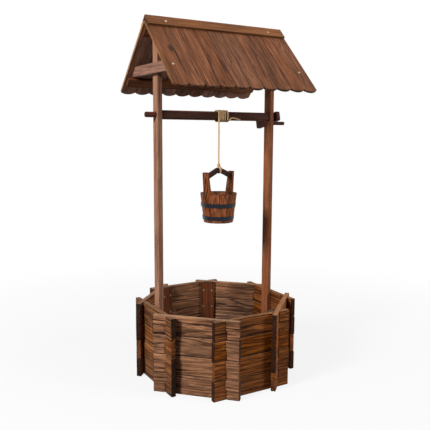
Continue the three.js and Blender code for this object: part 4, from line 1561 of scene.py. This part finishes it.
def heads_tree():
    """Sets a head on every point, turned to the point's direction and spun by chance."""
    w, given, made = new_tree("Geometry", "heads_on_points", [
        ("Points", "Geometry"), ("Head", "Object"), ("Radius", "Float", 0.0035),
        ("Seed", "Int", SEED), ("Metal", "Material"),
    ], [("Heads", "Geometry")])
    looks = w.made(
        "GeometryNodeInputNamedAttribute", {"Name": "looks_at"}, data_type="FLOAT_VECTOR"
    )
    facing = w.made("FunctionNodeAlignRotationToVector", {"Vector": looks}, axis="Z")
    angle = by_chance(w, "FLOAT", 0, math.pi, given["Seed"])
    copies = w.made("GeometryNodeInstanceOnPoints", {
        "Points": given["Points"],
        "Instance": w.made("GeometryNodeObjectInfo", {"Object": given["Head"]}, "Geometry"),
        "Rotation": w.made(
            "FunctionNodeRotateRotation", (facing, turn_by(w, angle)), rotation_space="LOCAL"
        ),
        "Scale": w.join(*[given["Radius"]] * 3),
    })
    w.put(made["Heads"], realized(w, copies, given["Metal"]))
    return w.tree


HEADS = heads_tree()
HEAD = screw_head()
print("screw head", len(HEAD.data.polygons), "faces")

# %% [markdown]
# The screws in the corner battens and on top of the roof are pale and zinc-plated, and the
# others are nearly black. A picture of metal would be too fine for heads of a few
# millimetres, so both are plain metals with small specks of dullness.

# %% Screw metals
def metal_material(name, pale, dark, roughness):
    material, w, shader = new_material(name)
    place = w.made("ShaderNodeTexCoord", (), "Object")
    speck = w.noise(place, (700, 700, 700), 3, 0.6)
    w.put(shader["Base Color"], w.mix(w.ease(speck, 0.35, 0.7), srgb(pale), srgb(dark)))
    w.put(shader["Roughness"], w.ease(speck, 0.3, 0.7, roughness, roughness + 0.2))
    w.put(shader["Metallic"], 0.8)
    return material


def heads(name, body, places, metal, radius):
    """Places are pairs of a point and the direction its head looks in."""
    mesh = bpy.data.meshes.new(name)
    mesh.from_pydata([place for place, _ in places], [], [])
    store(mesh, "looks_at", [look.normalized() for _, look in places])
    obj = run_tree(new_object(name, mesh), HEADS, head=HEAD, radius=radius, metal=metal)
    tie(obj, body, "hoop_steel")
    print(name, len(places), "heads")


zinc = metal_material("zinc_screw", "#d8cfb6", "#a39a80", 0.3)
iron = metal_material("dark_nail", "#4a4440", "#2b2624", 0.45)
print("metals", zinc.name, iron.name)

# %% [markdown]
# A screw sits where one piece holds another: one for each board end at a batten, one in each
# purlin for each plank, a few through the posts and ties. The places could be typed one by
# one, but worked out from the pieces that they join, they follow when a size changes.

# %% Screw places
PROUD = 0.25 * MM
BATTEN_COLUMN = 19 * MM
CAP_SCREWS = (-219 * MM, 220 * MM)
CAP_SCREW_DOWN = 27 * MM
TIE_SCREW_DOWN = 246 * MM
PURLIN_SCREWS_DOWN = (42 * MM, 272 * MM)
TIE_SCREWS = ((-8 * MM, TIE_BOTTOM + 24 * MM), (8 * MM, TIE_BOTTOM + 13 * MM))
POST_SCREWS = (40 * MM, 110 * MM, 180 * MM, 250 * MM)
SLAT_SCREW = (8 * MM, 16 * MM)
SLAT_SCREW_LIMIT = 225 * MM
NAIL_SPACING = 4 * MM
NAIL_LIFT = 1 * MM
RIVET_TURN = math.radians(7.5)
POST_SHAKE = 4 * MM
BATTEN_SHAKE = (1.5 * MM, 3 * MM)


def batten_screws():
    places = []
    for corner in BATTEN_CORNERS:
        outward = heading(corner_angle(corner))
        across = heading(corner_angle(corner) + math.pi / 2)
        for course in range(COURSES):
            for side in (-1, 1):
                place = outward * (BATTEN_FACE - PROUD)
                place += across * side * (BATTEN_COLUMN + shake(BATTEN_SHAKE[0]))
                place.z = (course + 0.5) * BOARD_HIGH + shake(BATTEN_SHAKE[1])
                places.append((place, -outward))
    return places


def roof_screws(back):
    """The pale screws in the slope's outside, and the dark ones in its purlins."""
    slope = slope_axes(back)
    out = slope.to_3x3() @ Z
    tie_x = POST_OUTER + TIE_THICK / 2 + SEAT
    pale = [(CAP_SCREW_DOWN, -x if back else x, PROUD) for x in CAP_SCREWS]
    pale += [(TIE_SCREW_DOWN, end * tie_x, PROUD - PLANK_DEPTH) for _, end in ENDS]
    deep = -(PURLIN_DEPTH + PURLIN_THICK) - PROUD
    dark = [(down, y, deep) for y in PLANK_MIDDLES for down in PURLIN_SCREWS_DOWN]
    return (
        [(slope @ Vector(place), out) for place in pale],
        [(slope @ Vector(place), -out) for place in dark],
    )


def post_screws():
    places = []
    for _, end in ENDS:
        x = end * (POST_OUTER + SEAT + TIE_THICK + PROUD)
        places += [((x, y, z), X * end) for y, z in TIE_SCREWS]
        for z in POST_SCREWS:
            places.append(((end * (POST_INNER - PROUD), shake(POST_SHAKE), z), X * -end))
    return places


def slat_screws():
    z = BEARER_HIGH + SLAT_THICK + PROUD
    corners = [(x + side * SLAT_SCREW[0], y + side * SLAT_SCREW[1], z)
               for y in SLAT_MIDDLES for x in BEARERS for side in (-1, 1)]
    return [(place, Z) for place in corners if abs(place[1]) < SLAT_SCREW_LIMIT]


def bucket_nails():
    places = []
    for angle in (0, math.pi):
        place = bucket_turn @ spin(angle)
        out = place.to_3x3() @ X
        middle = HANDLE_EAVE - HANDLE_ARM / 2
        for z in (middle - NAIL_SPACING, middle + NAIL_SPACING + NAIL_LIFT):
            places.append((place @ Vector((radius_at(z) + PROUD, 0, z)), out))
    out = bucket_turn.to_3x3() @ heading(HOOP_START + RIVET_TURN)
    for _, drop in HOOPS:
        middle = RIM - drop - HOOP_HIGH / 2
        radius = radius_at(middle, -SEAT) + 2 * HOOP_THICK + PROUD
        for z in (middle - NAIL_SPACING, middle + NAIL_SPACING):
            places.append((bucket_turn @ (Z * z) + out * radius, out))
    return places


pale_places = batten_screws()
dark_places = []
for is_back in (False, True):
    slope_pale, slope_dark = roof_screws(is_back)
    pale_places += slope_pale
    dark_places += slope_dark
dark_places += post_screws() + slat_screws()
heads("screws_pale", "frame", pale_places, zinc, 4.0 * MM)
heads("screws_dark", "frame", dark_places, iron, 3.0 * MM)
heads("bucket_nails", "bucket", bucket_nails(), iron, 2.0 * MM)
bpy.data.objects.remove(HEAD)

# %% [markdown]
# ## Studio
# The photograph has a bright white ground and soft light from the left and above. The floor
# is pale and mostly shows white to the camera, so that it still keeps the shadow, and the
# world is white to the camera but dimmer as a light, so that the wood isn't washed out.

# %% Floor and world
FLOOR_HALF = 6
FLOOR_LOW = -0.2 * MM
FLOOR_GLOW = 0.84
FLOOR_FADE = (0.7, 2.2)
FLOOR_GREY = (0.2, 0.2, 0.2, 1)
FLOOR_PALE = (0.8, 0.8, 0.8, 1)
WORLD_LIGHT = 0.04


def seen_rays(w):
    """One for what the camera sees straight, in a gloss or through glass."""
    path = w.node("ShaderNodeLightPath").outputs
    gloss = w.math("MAXIMUM", path["Is Camera Ray"], path["Is Glossy Ray"])
    return w.math("MAXIMUM", gloss, path["Is Transmission Ray"])


def studio_floor():
    mesh = bpy.data.meshes.new("studio_floor")
    corners = [(x * FLOOR_HALF, y * FLOOR_HALF, FLOOR_LOW)
               for x, y in ((-1, -1), (1, -1), (1, 1), (-1, 1))]
    mesh.from_pydata(corners, [], [(0, 1, 2, 3)])
    material, w, shader = new_material("studio_floor")
    w.put(shader["Base Color"], w.mix(seen_rays(w), FLOOR_GREY, FLOOR_PALE))
    w.put(shader["Roughness"], 0.9)
    away = w.vector("LENGTH", w.made("ShaderNodeTexCoord", (), "Object"))
    share = w.times(seen_rays(w), w.ease(away, *FLOOR_FADE, FLOOR_GLOW, 1.0))
    nodes = material.node_tree.nodes
    blend = (share, nodes["Principled BSDF"].outputs[0], w.made("ShaderNodeEmission", ()))
    w.put(nodes["Material Output"].inputs[0], w.made("ShaderNodeMixShader", blend))
    mesh.materials.append(material)
    new_object("studio_floor", mesh)


def studio_world():
    world = bpy.data.worlds.new("studio")
    scene.world = world
    world.use_nodes = True
    w = Wires(world.node_tree)
    background = world.node_tree.nodes["Background"].inputs
    w.put(background["Color"], (1, 1, 1, 1))
    w.put(background["Strength"], w.ease(seen_rays(w), 0.0, 1.0, WORLD_LIGHT, 1.0))


studio_floor()
studio_world()
print("floor", 2 * FLOOR_HALF, "m wide")

# %% [markdown]
# A large lamp at the left stands for the soft daylight of the photograph. A weaker one at
# the right keeps the shadow side readable, and one above lights the roof. A sun lamp would
# be simpler, but its shadows have hard edges, and those of a wide square lamp are soft.

# %% Lamps
CENTRE = Vector((0, 0, 0.65))


def lamp(name, place, size, watts):
    data = bpy.data.lights.new(name, "AREA")
    data.shape = "SQUARE"
    data.size = size
    data.energy = watts
    obj = new_object(name, data)
    obj.location = place
    obj.rotation_mode = "QUATERNION"
    obj.rotation_quaternion = (CENTRE - Vector(place)).to_track_quat("-Z", "Y")
    print(name, watts, "W")


lamp("key", (-3.96, -1.02, 2.7), 1.1, 212)
lamp("fill", (2.6, -2.9, 2.1), 1.4, 90)
lamp("top", (-0.2, -0.3, 4.2), 2.0, 30)
scene.view_settings.view_transform = "Standard"
